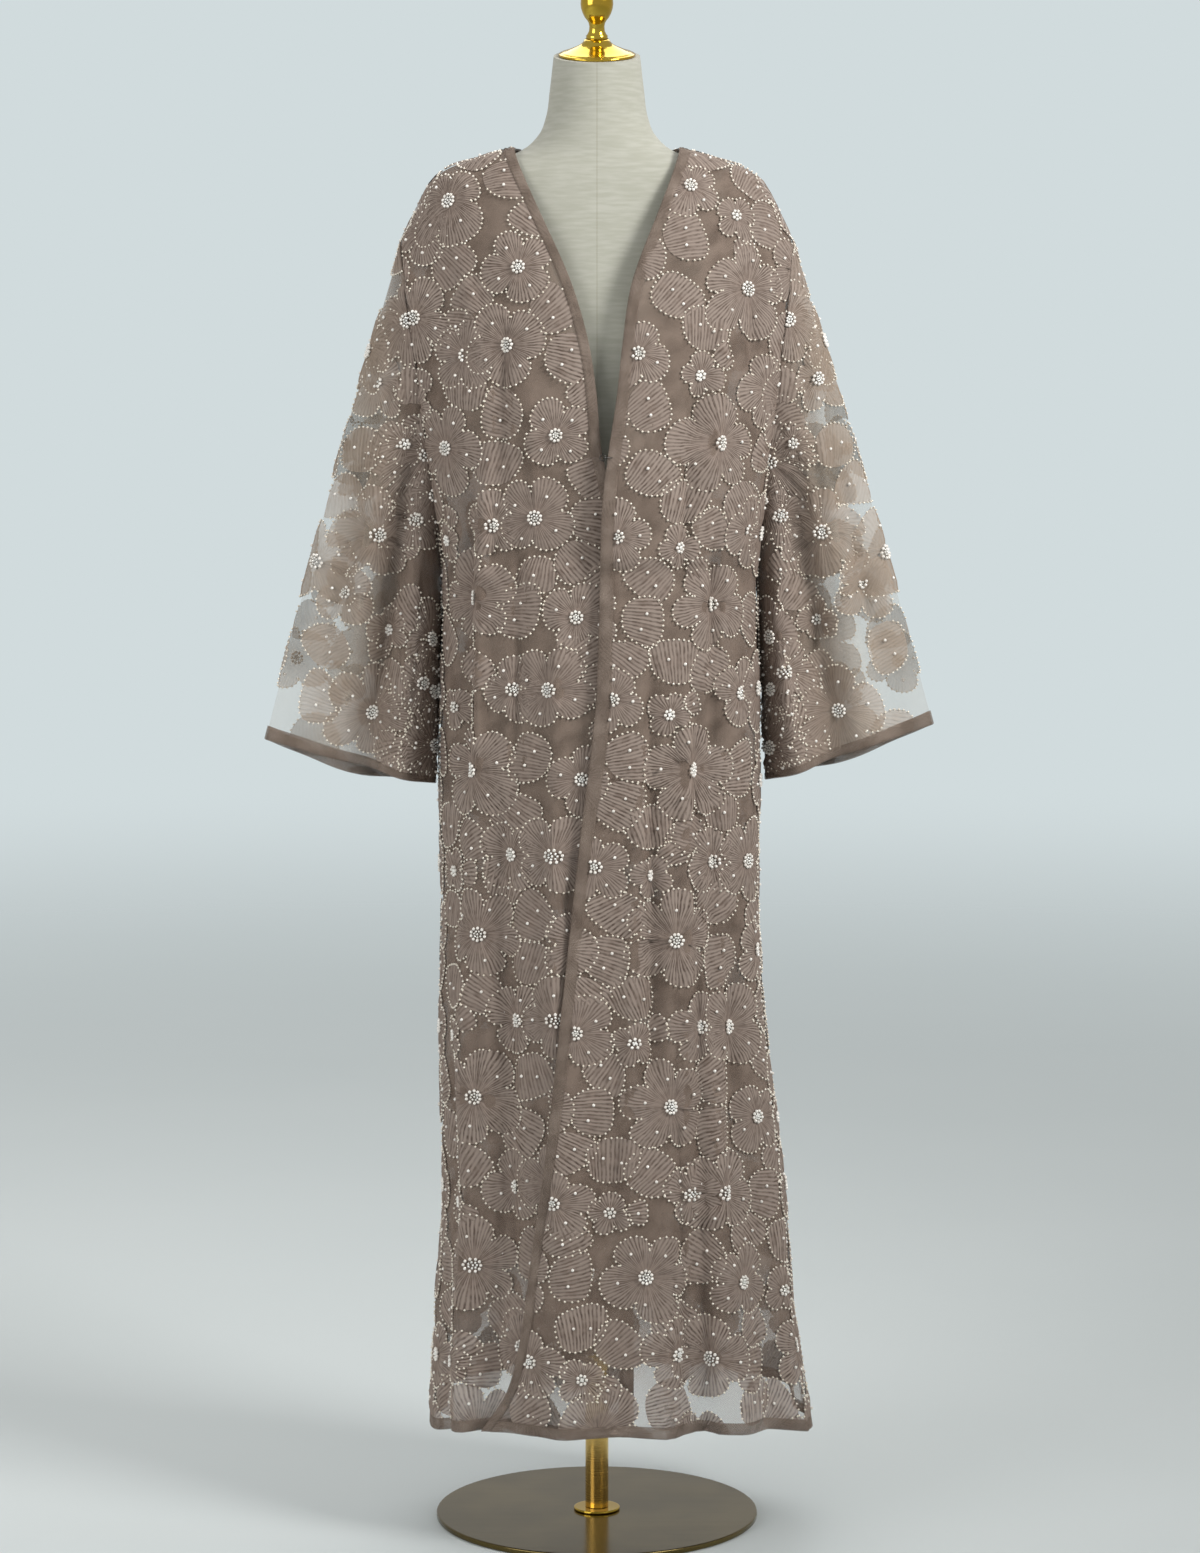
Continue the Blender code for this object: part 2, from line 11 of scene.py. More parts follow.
import bpy
import numpy as np
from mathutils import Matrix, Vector


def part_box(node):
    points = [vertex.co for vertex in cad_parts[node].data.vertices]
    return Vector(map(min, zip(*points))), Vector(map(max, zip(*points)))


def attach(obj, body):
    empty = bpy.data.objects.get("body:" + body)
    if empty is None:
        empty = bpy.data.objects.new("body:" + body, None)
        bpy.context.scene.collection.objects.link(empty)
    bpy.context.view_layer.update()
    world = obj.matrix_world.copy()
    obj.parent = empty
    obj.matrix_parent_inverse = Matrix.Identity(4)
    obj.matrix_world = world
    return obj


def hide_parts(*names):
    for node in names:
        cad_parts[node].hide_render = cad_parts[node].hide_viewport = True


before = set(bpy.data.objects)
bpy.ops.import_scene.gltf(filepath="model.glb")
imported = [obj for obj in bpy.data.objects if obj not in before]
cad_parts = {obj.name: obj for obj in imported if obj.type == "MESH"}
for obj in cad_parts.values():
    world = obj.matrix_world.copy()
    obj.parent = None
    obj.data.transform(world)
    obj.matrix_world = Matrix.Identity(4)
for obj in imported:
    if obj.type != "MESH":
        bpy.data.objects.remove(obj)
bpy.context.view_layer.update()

# %% [markdown]
# The cloak's cut is a short list of sizes and tables, all in metres. Plan sections against height give
# the skirt, one line of points gives each front edge, and one gives the shoulder. A surface worked out
# from tables can be made as fine as it needs to be, so these are the same tables that give the coarse
# model of the cloak, read here at many more places.

# %% Driving sizes of the cloak
SEAM = 0.0003
ARMHOLE_SEAM, ARMHOLE_DROP = 0.0008, 0.0003
EDGE_BAND, HEM_BAND, CUFF_BAND = 0.010, 0.012, 0.015
OVERLAP, OVERLAP_FROM, OVERLAP_FULL, OVERLAP_FADE = 0.0058, 1.26, 1.185, 0.5
UNDERARM = 1.075
HEM_HEIGHT, HEM_DIP, HEM_DIP_POWER = 0.134, 0.028, 6
YOKE_CURVE, SECTION_CURVE = 2.6, 2.25
YOKE_BLEND = 4  # power by which the fronts' slant gives way to the shoulder's
ARMHOLE_DEPTH, ARMHOLE_RISE_POWER, ARMHOLE_FULLNESS, BULGE_POWER = 0.062, 0.8, 0.75, 4
MEAN_RADIUS = 0.17
NECK_SHARE, BACK_NECK_DEPTH, BACK_NECK_DROP = 0.43, 0.082, 0.006
SLEEVE_DEPTH, SLEEVE_BOW, SLEEVE_EASE = 0.014, 0.004, 1.3
FOLD_ONSET = 3.0  # a sleeve's folds are full after one part in this many of its length

# height, centre x, half width, depth in front, depth behind
SECTIONS = (
    (0.100, 0.027, 0.215, 0.180, 0.172), (0.243, 0.019, 0.200, 0.174, 0.164),
    (0.356, 0.019, 0.191, 0.168, 0.157), (0.468, 0.012, 0.186, 0.163, 0.151),
    (0.580, 0.005, 0.180, 0.158, 0.146), (0.693, 0.003, 0.1755, 0.154, 0.142),
    (0.806, 0.002, 0.177, 0.151, 0.138), (0.950, 0.002, 0.176, 0.149, 0.132),
    (1.075, 0.002, 0.174, 0.147, 0.126),
)
# height, x of the under front's edge, x of the over front's edge
FRONT_EDGES = (
    (0.130, 0.040, -0.125), (0.175, 0.040, -0.099), (0.240, 0.040, -0.0815), (0.310, 0.038, -0.0715),
    (0.450, 0.036, -0.051), (0.610, 0.033, -0.035), (0.770, 0.030, -0.0185), (0.935, 0.027, 0.000),
    (1.040, 0.024, 0.0035), (1.150, 0.017, 0.0070), (1.200, 0.005, 0.0130), (1.265, -0.001, 0.0225),
    (1.320, -0.009, 0.0280), (1.380, -0.025, 0.0360), (1.465, -0.060, 0.0650), (1.537, -0.092, 0.0920),
)
# share from neck to armhole, x, height
SHOULDER = (
    (0.00, 0.0920, 1.5370), (0.25, 0.1290, 1.5255), (0.60, 0.1790, 1.5040),
    (0.74, 0.1940, 1.4810), (0.87, 0.2050, 1.4580), (1.00, 0.2150, 1.4355),
)
# plan angle in degrees from the front, half width in degrees, depth at the hem, height where it ends
FOLDS = (
    (-64, 9, -0.010, 0.95), (-51, 9, 0.013, 1.05), (-32, 11, -0.006, 0.90), (-14, 8, 0.010, 1.02),
    (0, 8, -0.009, 1.00), (20, 10, -0.015, 1.08), (36, 9, 0.010, 0.95), (50, 8, -0.008, 0.85),
    (65, 9, 0.010, 0.95), (104, 9, -0.010, 0.90), (122, 10, 0.013, 1.00), (141, 9, -0.012, 0.90),
    (158, 9, 0.012, 1.05), (177, 9, -0.010, 0.95), (196, 9, 0.013, 1.00), (216, 9, -0.011, 1.05),
    (235, 10, 0.014, 0.95), (255, 9, -0.010, 0.90),
)
# side: outer end of the cuff (x, height), inner end of the cuff (x, height), drop of the cuff's back
SLEEVES = {
    "left": (1, (0.376, 0.896), (0.189, 0.834), 0.010),
    "right": (-1, (0.371, 0.879), (0.181, 0.830), 0.014),
}
# share from the inner to the outer edge, half width, depth at the armhole, depth at the cuff
SLEEVE_FOLDS_FRONT = ((0.18, 0.21, 0.010, 0.044), (0.44, 0.13, -0.010, -0.003), (0.62, 0.20, 0.004, 0.010))
SLEEVE_FOLDS_BACK = ((0.25, 0.20, 0.006, 0.030), (0.52, 0.14, -0.008, -0.004), (0.76, 0.18, 0.003, 0.012))

# how finely each surface is read
SKIRT_STEPS, YOKE_STEPS, BAND_STEPS = 120, 60, 3
OVER_STEPS, UNDER_STEPS, BACK_STEPS, SLEEVE_STEPS = 60, 48, 100, 66
print("skirt", round(UNDERARM - HEM_HEIGHT, 3), "m from hem to underarm")

# %% [markdown]
# Three small helpers do most of the work on the shape. One reads a smooth curve through a table, one is
# the soft hump of a fold, and one squares a circle off. Each takes whole arrays.

# %% Reading the tables


def column(table, index):
    """One column of a table as an array."""
    return np.array([row[index] for row in table], float)


def eased(at, xs, ys):
    """Cubic pieces through the points (xs, ys), whose slopes are the table's own central differences."""
    slopes = np.gradient(ys, xs)
    at = np.clip(np.asarray(at, float), xs[0], xs[-1])
    i = np.clip(np.searchsorted(xs, at, side="right") - 1, 0, len(xs) - 2)
    step = xs[i + 1] - xs[i]
    t = (at - xs[i]) / step
    low, high = (2 * t**3 - 3 * t**2 + 1) * ys[i], (3 * t**2 - 2 * t**3) * ys[i + 1]
    return low + high + ((t**3 - 2 * t**2 + t) * slopes[i] + (t**3 - t**2) * slopes[i + 1]) * step


def bump(distance, half_width):
    """Cosine squared: 1 at the middle of a fold and 0 from its half width outwards."""
    return np.where(np.abs(distance) < half_width, np.cos(distance / half_width * math.pi / 2) ** 2, 0.0)


def signed_power(value, power):
    """The size of value to a power, with value's sign kept."""
    return np.sign(value) * np.abs(value) ** power


def ease_in(distance, length):
    """Three parts squared less two parts cubed: 0 at distance 0, 1 from length on, level at both ends."""
    part = np.clip(distance / length, 0, 1)
    return part * part * (3 - 2 * part)


print("a fold keeps", round(float(bump(0.5, 1.0)), 2), "of its depth halfway out")

# %% [markdown]
# The skirt is a stack of plan sections. Each one is a squared ellipse, with soft folds that stand out or
# fall in by more and more towards the hem. The two fronts lie on each other below the closure, so the
# over front is lifted out by a few millimetres there and the under front goes in.

# %% The skirt's sections


def hem_height(angle):
    """The hem dips at the sides: a base height less a high power of the sine of the plan angle."""
    return HEM_HEIGHT - HEM_DIP * np.abs(np.sin(angle)) ** HEM_DIP_POWER


def skirt_point(angle, height, lift):
    """Squared ellipse: half sizes times sine and cosine to 2 / SECTION_CURVE, moved out by folds and lift."""
    heights = column(SECTIONS, 0)
    centre, half_width, front, back = (eased(height, heights, column(SECTIONS, k)) for k in range(1, 5))
    depth = np.where(np.cos(angle) > 0, front, back)
    outward = np.stack([np.sin(angle) / half_width, -np.cos(angle) / depth], axis=-1)
    outward /= np.linalg.norm(outward, axis=-1, keepdims=True)
    offset = lift + sum(
        deep * bump(np.degrees(angle) - at, wide)
        * np.clip(1 - (height - HEM_HEIGHT) / (top - HEM_HEIGHT), 0, 1)
        for at, wide, deep, top in FOLDS
    )
    x = centre + half_width * signed_power(np.sin(angle), 2 / SECTION_CURVE) + outward[..., 0] * offset
    y = -depth * signed_power(np.cos(angle), 2 / SECTION_CURVE) + outward[..., 1] * offset
    return np.stack([x, y, height], axis=-1)


def edge_angle(x, height):
    """The plan angle at which the section at this height passes x."""
    heights = column(SECTIONS, 0)
    share = (x - eased(height, heights, column(SECTIONS, 1))) / eased(height, heights, column(SECTIONS, 2))
    return np.arcsin(signed_power(share, SECTION_CURVE / 2))


def overlap_lift(height, side, spread):
    """Out on the over front and in on the under front below the closure; it fades across the panel."""
    full = side * OVERLAP * ease_in(OVERLAP_FROM - height, OVERLAP_FROM - OVERLAP_FULL)
    return full * np.clip(1 - spread, 0, 1) ** OVERLAP_FADE


print("the hem dips by", round(HEM_HEIGHT - float(hem_height(math.pi / 2)), 3), "m at the sides")

# %% [markdown]
# Above the underarm the panels arch over to the shoulder seam. The arch is a squared quarter circle, read
# at places that are evenly spaced along it, so that no row of the surface is stretched.

# %% The yoke's arch


def yoke_curves(rise):
    """Height share sine and depth share cosine of a quarter turn, each to the power 2 / YOKE_CURVE."""
    turn = rise * math.pi / 2
    return np.sin(turn) ** (2 / YOKE_CURVE), np.clip(np.cos(turn), 0, 1) ** (2 / YOKE_CURVE)


def even_rises(count):
    """Shares of the quarter turn whose points are evenly spaced along the arch."""
    turn = np.linspace(0, 1, 4001)
    up, out = yoke_curves(turn)
    height, depth = SHOULDER[0][2] - UNDERARM, SECTIONS[-1][3]
    run = np.concatenate([[0], np.cumsum(np.hypot(np.diff(up) * height, np.diff(out) * depth))])
    return np.interp(np.linspace(0, run[-1], count + 1), run, turn)


def armhole_bulge(rise):
    """How far the armhole stands off the shoulder line: a fuller sine arch that peaks above the middle."""
    arch = np.sin(np.pi * np.clip(rise, 0, 1) ** ARMHOLE_RISE_POWER)
    return ARMHOLE_DEPTH * np.clip(arch, 0, 1) ** ARMHOLE_FULLNESS


def shoulder_point(share):
    """x and height of the shoulder seam at a share of its length from the neck."""
    shares = column(SHOULDER, 0)
    return eased(share, shares, column(SHOULDER, 1)), eased(share, shares, column(SHOULDER, 2))


YOKE_RISES = even_rises(YOKE_STEPS)
hem_share = HEM_BAND / (UNDERARM - HEM_HEIGHT)
SKIRT_RISES = np.concatenate(
    [np.linspace(0, hem_share, BAND_STEPS + 1), np.linspace(hem_share, 1, SKIRT_STEPS - BAND_STEPS + 1)[1:]]
)
print("rows of a panel:", len(SKIRT_RISES) + YOKE_STEPS)

# %% [markdown]
# A front panel runs from its free edge to the side seam, and from the hem to the shoulder seam. Its first
# few columns are the width of the turned edge, so that the hem can be folded from them later. The back
# panel runs from one side seam round to the other and has the neckline in the middle of its top row.

# %% Front and back panels


def front_panel(side, steps):
    """Rows from hem to shoulder. Across: plan angle from edge to seam, then share of the yoke's width."""
    edge_z, edge_x = column(FRONT_EDGES, 0), column(FRONT_EDGES, 2 if side > 0 else 1)
    seam_turn = side * (math.pi / 2 - SEAM / 2 / SECTIONS[-1][2])
    step = np.arange(BAND_STEPS + steps + 1)
    in_band, beyond = np.clip(step / BAND_STEPS, 0, 1), np.clip((step - BAND_STEPS) / steps, 0, 1)
    rise = SKIRT_RISES[:, None]
    level = HEM_HEIGHT + rise * (UNDERARM - HEM_HEIGHT)
    start = edge_angle(eased(level, edge_z, edge_x), level)
    first = EDGE_BAND / (np.abs(seam_turn - start) * MEAN_RADIUS)
    spread = first * in_band + (1 - first) * beyond
    angle = start + (seam_turn - start) * spread
    height = hem_height(angle) + rise * (UNDERARM - hem_height(angle))
    skirt = skirt_point(angle, height, overlap_lift(height, side, spread))

    base = skirt[-1]
    reach = (base[:, 0] - base[0, 0]) / (base[-1, 0] - base[0, 0])
    rise = YOKE_RISES[1:, None]
    up, out = yoke_curves(rise)
    arm_x = base[-1, 0] + (side * SHOULDER[-1][1] - base[-1, 0]) * up
    start_x = eased(UNDERARM + (SHOULDER[0][2] - UNDERARM) * up, edge_z, edge_x)
    first = EDGE_BAND / np.abs(arm_x - start_x)
    spread = first * in_band + (1 - first) * beyond
    across = reach * (1 - up) + spread * up
    top_x, top_z = shoulder_point(spread)
    slant = rise**YOKE_BLEND
    x = (start_x + (arm_x - start_x) * across) * (1 - slant) + side * top_x * slant
    z = UNDERARM + (top_z - UNDERARM) * up
    lift = overlap_lift(z, side, spread) * (1 - rise)
    y = -SEAM / 2 + (base[:, 1] + SEAM / 2) * out - armhole_bulge(rise) * across**BULGE_POWER - lift
    grid = np.concatenate([skirt, np.stack([x, y, z], axis=-1)])
    return grid if side > 0 else grid[:, ::-1]


def back_panel(steps):
    """Rows from hem to shoulders. Across: plan angle from the left side seam round to the right one."""
    share = np.linspace(-1, 1, steps + 1)
    angle = math.pi + (math.pi / 2 - SEAM / 2 / SECTIONS[-1][2]) * share
    rise = SKIRT_RISES[:, None]
    skirt = skirt_point(angle + 0 * rise, hem_height(angle) + rise * (UNDERARM - hem_height(angle)), 0.0)
    base = skirt[-1]
    neck = np.clip(np.abs(share) / NECK_SHARE, 0, 1)
    shoulder_x, shoulder_z = shoulder_point(np.clip((np.abs(share) - NECK_SHARE) / (1 - NECK_SHARE), 0, 1))
    hollow = np.clip(1 - neck**2, 0, 1) ** 0.5
    top_x = -np.sign(share) * np.where(neck < 1, SHOULDER[0][1] * neck, shoulder_x)
    top_y = SEAM / 2 + BACK_NECK_DEPTH * hollow
    up, out = yoke_curves(YOKE_RISES[1:, None])
    bulge = np.abs((base[:, 0] - SECTIONS[-1][1]) / SECTIONS[-1][2]) ** BULGE_POWER
    x = base[:, 0] + (top_x - base[:, 0]) * up
    y = top_y + (base[:, 1] - top_y) * out + armhole_bulge(YOKE_RISES[1:, None]) * bulge
    z = UNDERARM + (shoulder_z - BACK_NECK_DROP * hollow - UNDERARM) * up
    return np.concatenate([skirt, np.stack([x, y, z], axis=-1)])


over_grid = front_panel(1, OVER_STEPS)
under_grid = front_panel(-1, UNDER_STEPS)
back_grid = back_panel(BACK_STEPS)
print("over front", over_grid.shape, "under front", under_grid.shape, "back", back_grid.shape)

# %% [markdown]
# A sleeve is a set of rings from the dropped armhole to the cuff. Each ring goes up the front and down
# the back. The armhole's own outline dies away down the sleeve, and the folds take its place: the deep
# roll beside the body is the cloth that the straight-cut sleeve has to spare under the arm.

# %% Sleeves


def sleeve_grid(side, outer, inner, drop, front_edge, back_edge):
    """Straight lines from armhole to cuff at each share of the ring; mouth and folds give them depth."""
    share = yoke_curves(YOKE_RISES)[0]
    armhole = np.concatenate([front_edge, back_edge[-2:0:-1]]) + [side * ARMHOLE_SEAM, 0.0, -ARMHOLE_DROP]
    armhole[[0, len(share) - 1], 1] = 0.0
    shares = np.concatenate([share, share[-2:0:-1]])
    front = np.concatenate([np.ones(len(share)), -np.ones(len(share) - 2)])
    top, bottom = armhole[len(share) - 1], armhole[0]
    cuff_in, cuff_out = (np.array([side * end[0], 0.0, end[1]]) for end in (inner, outer))
    band_share = CUFF_BAND / np.linalg.norm(cuff_out - top)
    band = 1 - band_share * np.arange(BAND_STEPS - 1, -1, -1) / BAND_STEPS
    fall = np.concatenate([np.linspace(0, 1 - band_share, SLEEVE_STEPS), band])[:, None]
    start, end = bottom + (cuff_in - bottom) * fall, top + (cuff_out - top) * fall
    end[:, :1] += side * SLEEVE_BOW * np.sin(math.pi * fall)
    ring = start[:, None] + (end - start)[:, None] * shares[:, None]
    folds = np.zeros((len(fall), len(shares)))
    for sign, table in ((1, SLEEVE_FOLDS_FRONT), (-1, SLEEVE_FOLDS_BACK)):
        here = sum((high + (low - high) * fall) * bump(shares - at, wide) for at, wide, high, low in table)
        folds += np.where(front == sign, here * np.minimum(1.0, FOLD_ONSET * fall), 0.0)
    gather = (1 - fall) ** SLEEVE_EASE
    mouth = SLEEVE_DEPTH * (4 * shares * (1 - shares)) ** 0.5
    ring[..., 1] = -front * (mouth * (1 - gather) + folds) + armhole[:, 1] * gather
    ring[..., 2] -= np.where(front < 0, drop * fall**2 * np.sin(np.pi * shares), 0.0)
    ring[0] = armhole
    return ring


yoke_from = len(SKIRT_RISES) - 1
armholes = {
    "left": (over_grid[yoke_from:, -1], back_grid[yoke_from:, 0]),
    "right": (under_grid[yoke_from:, 0], back_grid[yoke_from:, -1]),
}
sleeve_grids = {name: sleeve_grid(*SLEEVES[name], *armholes[name]) for name in SLEEVES}
print("sleeve rings", sleeve_grids["left"].shape)

# %% [markdown]
# Worn net doesn't hang smoothly: it breaks into soft troughs and ridges of uneven length and depth. Each
# crease here is a line on the front or back elevation, with a half width and a depth, and the surface
# moves along its own normal. Near a sewn seam the crease dies away, so that neighbours stay together.

# %% The table of creases
# x and height of the lower end, x and height of the upper end, half width, depth (outwards is positive)
CREASES = {
    "front_left": (
        (0.118, -0.060, 0.110, 1.000, 0.020, -0.0120), (0.076, -0.060, 0.080, 0.800, 0.020, 0.0090),
        (0.062, 0.46, 0.060, 1.02, 0.011, -0.0081), (0.100, 0.20, 0.096, 0.98, 0.012, 0.0099),
        (0.131, 0.50, 0.128, 1.16, 0.011, -0.0108), (0.032, 0.30, 0.046, 0.90, 0.012, 0.0072),
        (0.090, 1.02, 0.112, 1.33, 0.013, -0.0090), (0.118, 1.12, 0.140, 1.40, 0.012, 0.0090),
        (0.050, 1.14, 0.066, 1.30, 0.010, 0.0054), (0.150, 0.28, 0.148, 0.72, 0.012, -0.0090),
        (0.166, 1.24, 0.176, 1.42, 0.011, -0.0081), (-0.010, 0.20, 0.006, 0.52, 0.011, -0.0063),
    ),
    "front_right": (
        (-0.112, -0.060, -0.104, 0.860, 0.020, -0.0120), (-0.145, -0.060, -0.150, 0.700, 0.018, 0.0080),
        (-0.128, 0.80, -0.119, 1.22, 0.011, 0.0117), (-0.146, 0.78, -0.139, 1.18, 0.011, -0.0126),
        (-0.088, 0.78, -0.084, 1.14, 0.008, -0.0081), (-0.104, 1.14, -0.100, 1.36, 0.011, -0.0099),
        (-0.048, 0.52, -0.040, 1.06, 0.013, 0.0090), (-0.112, 0.22, -0.118, 0.66, 0.012, 0.0090),
        (-0.090, 0.24, -0.094, 0.72, 0.010, -0.0081), (-0.128, 1.30, -0.150, 1.44, 0.011, 0.0072),
        (-0.064, 1.12, -0.076, 1.30, 0.010, 0.0054), (-0.150, 0.30, -0.156, 0.60, 0.010, -0.0072),
    ),
    "back": (
        (-0.090, -0.060, -0.082, 0.960, 0.022, 0.0110), (-0.044, -0.060, -0.040, 0.780, 0.020, -0.0110),
        (0.006, -0.060, 0.010, 0.900, 0.022, 0.0100), (0.084, -0.060, 0.078, 0.840, 0.021, -0.0110),
        (-0.105, 0.24, -0.092, 1.10, 0.013, 0.0108), (-0.066, 0.52, -0.060, 1.24, 0.012, -0.0099),
        (-0.018, 0.22, -0.012, 0.84, 0.012, 0.0090), (0.022, 0.60, 0.030, 1.30, 0.013, -0.0090),
        (0.066, 0.20, 0.058, 0.96, 0.012, 0.0099), (0.106, 0.44, 0.098, 1.22, 0.012, -0.0108),
        (0.140, 0.26, 0.136, 0.84, 0.011, 0.0081), (-0.142, 0.50, -0.138, 1.06, 0.011, -0.0090),
        (-0.120, 1.12, -0.146, 1.38, 0.013, -0.0090), (0.122, 1.14, 0.148, 1.40, 0.013, 0.0081),
        (-0.030, 1.02, -0.040, 1.40, 0.012, 0.0063), (0.070, 1.18, 0.076, 1.42, 0.011, -0.0063),
    ),
    "sleeve_left": (
        (0.262, 0.90, 0.214, 1.24, 0.012, -0.0088), (0.292, 0.90, 0.236, 1.28, 0.012, 0.0068),
        (0.322, 0.92, 0.262, 1.22, 0.010, -0.0061), (0.240, 1.20, 0.220, 1.36, 0.010, -0.0061),
        (0.226, 0.86, 0.196, 1.12, 0.009, -0.0054), (0.345, 0.96, 0.300, 1.14, 0.009, 0.0047),
    ),
    "sleeve_right": (
        (-0.250, 0.88, -0.206, 1.22, 0.012, -0.0095), (-0.284, 0.88, -0.228, 1.26, 0.012, 0.0068),
        (-0.316, 0.90, -0.256, 1.20, 0.010, -0.0061), (-0.236, 1.20, -0.216, 1.36, 0.010, -0.0061),
        (-0.214, 0.84, -0.188, 1.10, 0.009, -0.0054), (-0.338, 0.94, -0.292, 1.14, 0.009, 0.0047),
    ),
}
print("creases:", sum(len(rows) for rows in CREASES.values()))

# %% [markdown]
# To crease a surface, each point needs the normal of the cloth there and its distance from each side of
# its panel. Both come straight from the grid of points: a normal is the cross product of two neighbouring
# steps, and a distance is the sum of the steps walked.

# %% Creasing the panels
CREASE_END = 0.10  # length over which a crease runs out
SEAM_QUIET = 0.030  # a crease grows to its full depth over this length from a sewn seam


def grid_normals(grid, around):
    """Unit cross product of the differences across and up the grid."""
    across = np.roll(grid, -1, axis=1) - np.roll(grid, 1, axis=1) if around else np.gradient(grid, axis=1)
    normals = np.cross(across, np.gradient(grid, axis=0))
    return normals / np.maximum(np.linalg.norm(normals, axis=-1, keepdims=True), 1e-12)


def run_along(grid, axis):
    """Distance walked along the grid's rows (axis 1) or columns (axis 0), from its first line."""
    steps = np.linalg.norm(np.diff(grid, axis=axis), axis=-1)
    start = np.zeros_like(np.take(steps, [0], axis=axis))
    return np.concatenate([start, np.cumsum(steps, axis=axis)], axis=axis)


def side_distances(grid):
    """Lengths walked along the grid's rows and columns from each of its four sides."""
    across, up = run_along(grid, 1), run_along(grid, 0)
    return {"left": across, "right": across[:, -1:] - across, "bottom": up, "top": up[-1:] - up}


def creased(grid, creases, around, outward, quiet):
    """Moves points along their normals by depth times a bump across the crease and easing along it."""
    offset = np.zeros(grid.shape[:2])
    for low_x, low_z, high_x, high_z, wide, deep in creases:
        run = np.array([high_x - low_x, high_z - low_z])
        length = np.linalg.norm(run)
        here = grid[..., [0, 2]] - [low_x, low_z]
        along = here @ run / length
        aside = (here[..., 0] * run[1] - here[..., 1] * run[0]) / length
        ends = ease_in(along, CREASE_END), ease_in(length - along, CREASE_END)
        offset += deep * bump(aside, wide) * ends[0] * ends[1]
    return grid + grid_normals(grid, around) * outward * (offset * quiet)[..., None]


def quiet_near(grid, seams):
    """The product of an easing from each sewn side: 1 in the open and 0 at a seam."""
    distance = side_distances(grid)
    quiet = np.ones(grid.shape[:2])
    for seam in seams:
        quiet *= ease_in(distance[seam], SEAM_QUIET)
    return quiet


# name: grid, whether it closes on itself, sign that turns its normals outwards, sewn sides
SHAPES = {
    "front_left": (over_grid, False, 1, ("right", "top")),
    "front_right": (under_grid, False, 1, ("left", "top")),
    "back": (back_grid, False, 1, ("left", "right", "top")),
    "sleeve_left": (sleeve_grids["left"], True, -1, ("bottom",)),
    "sleeve_right": (sleeve_grids["right"], True, 1, ("bottom",)),
}
panels = {}
for name, (grid, around, outward, seams) in SHAPES.items():
    grid = creased(grid, CREASES[name], around, outward, quiet_near(grid, seams))
    panels[name] = {
        "grid": grid, "around": around, "outward": outward, "seams": seams,
        "normals": grid_normals(grid, around) * outward,
    }
print("creased panels:", ", ".join(panels))

# %% [markdown]
# Every surface becomes a mesh through the same two helpers. One lists the faces of a grid and can join its
# last column to its first. The other puts whole arrays of points, faces, pattern coordinates and named
# numbers into a mesh, and says which body and which finish the piece has.

# %% Making pieces


def grid_faces(rows, columns, around=False, flip=False):
    """Quads row by row: indices of the points, and of an open grid that carries the pattern."""
    gaps = np.arange(columns if around else columns - 1)
    row, col = np.meshgrid(np.arange(rows - 1), gaps, indexing="ij")
    corners = [(row, col), (row, col + 1), (row + 1, col + 1), (row + 1, col)]
    if flip:
        corners = corners[::-1]
    wide = columns + 1 if around else columns
    points = np.stack([r * columns + c % columns for r, c in corners], axis=-1).reshape(-1, 4)
    pattern = np.stack([r * wide + c for r, c in corners], axis=-1).reshape(-1, 4)
    return points, pattern


def make_piece(name, points, faces, material, pattern=None, numbers=None, smooth=True):
    """A mesh object at the origin. faces is one array or several, pattern has one pair for each corner."""
    groups = faces if isinstance(faces, list) else [faces]
    corners = np.concatenate([group.ravel() for group in groups])
    counts = np.concatenate([np.full(len(group), group.shape[1]) for group in groups])
    mesh = bpy.data.meshes.new(name)
    mesh.vertices.add(len(points))
    mesh.vertices.foreach_set("co", np.asarray(points, np.float32).ravel())
    mesh.loops.add(len(corners))
    mesh.loops.foreach_set("vertex_index", corners.astype(np.int32))
    mesh.polygons.add(len(counts))
    mesh.polygons.foreach_set("loop_start", (np.cumsum(counts) - counts).astype(np.int32))
    mesh.update(calc_edges=True)
    if pattern is not None:
        mesh.uv_layers.new(name="pattern").data.foreach_set("uv", np.asarray(pattern, np.float32).ravel())
    for key, values in (numbers or {}).items():
        number = mesh.attributes.new(key, "FLOAT", "POINT")
        number.data.foreach_set("value", np.asarray(values, np.float32).ravel())
    if smooth:
        mesh.shade_smooth()
    mesh.materials.append(material)
    item = bpy.data.objects.new(name, mesh)
    bpy.context.scene.collection.objects.link(item)
    return item


def finish_piece(item, slot, *nodes):
    """The piece rides on the one body and stands for the named nodes. Its slot is not used."""
    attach(item, "root")
    if nodes:
        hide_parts(*nodes)
    return item


def walled(item, thickness):
    """Gives an open surface a thickness inwards."""
    wall = item.modifiers.new("wall", "SOLIDIFY")
    wall.thickness = thickness
    wall.offset = -1.0
    return item


print("quads of a 3 by 3 grid, open and joined:", [len(grid_faces(3, 3, ring)[0]) for ring in (False, True)])

# %% [markdown]
# A finish is a set of nodes behind one Principled shader. This short class adds a node and joins its
# inputs in one line each: an input may be a number, a colour or the output of another node.

# %% A short way to write finishes


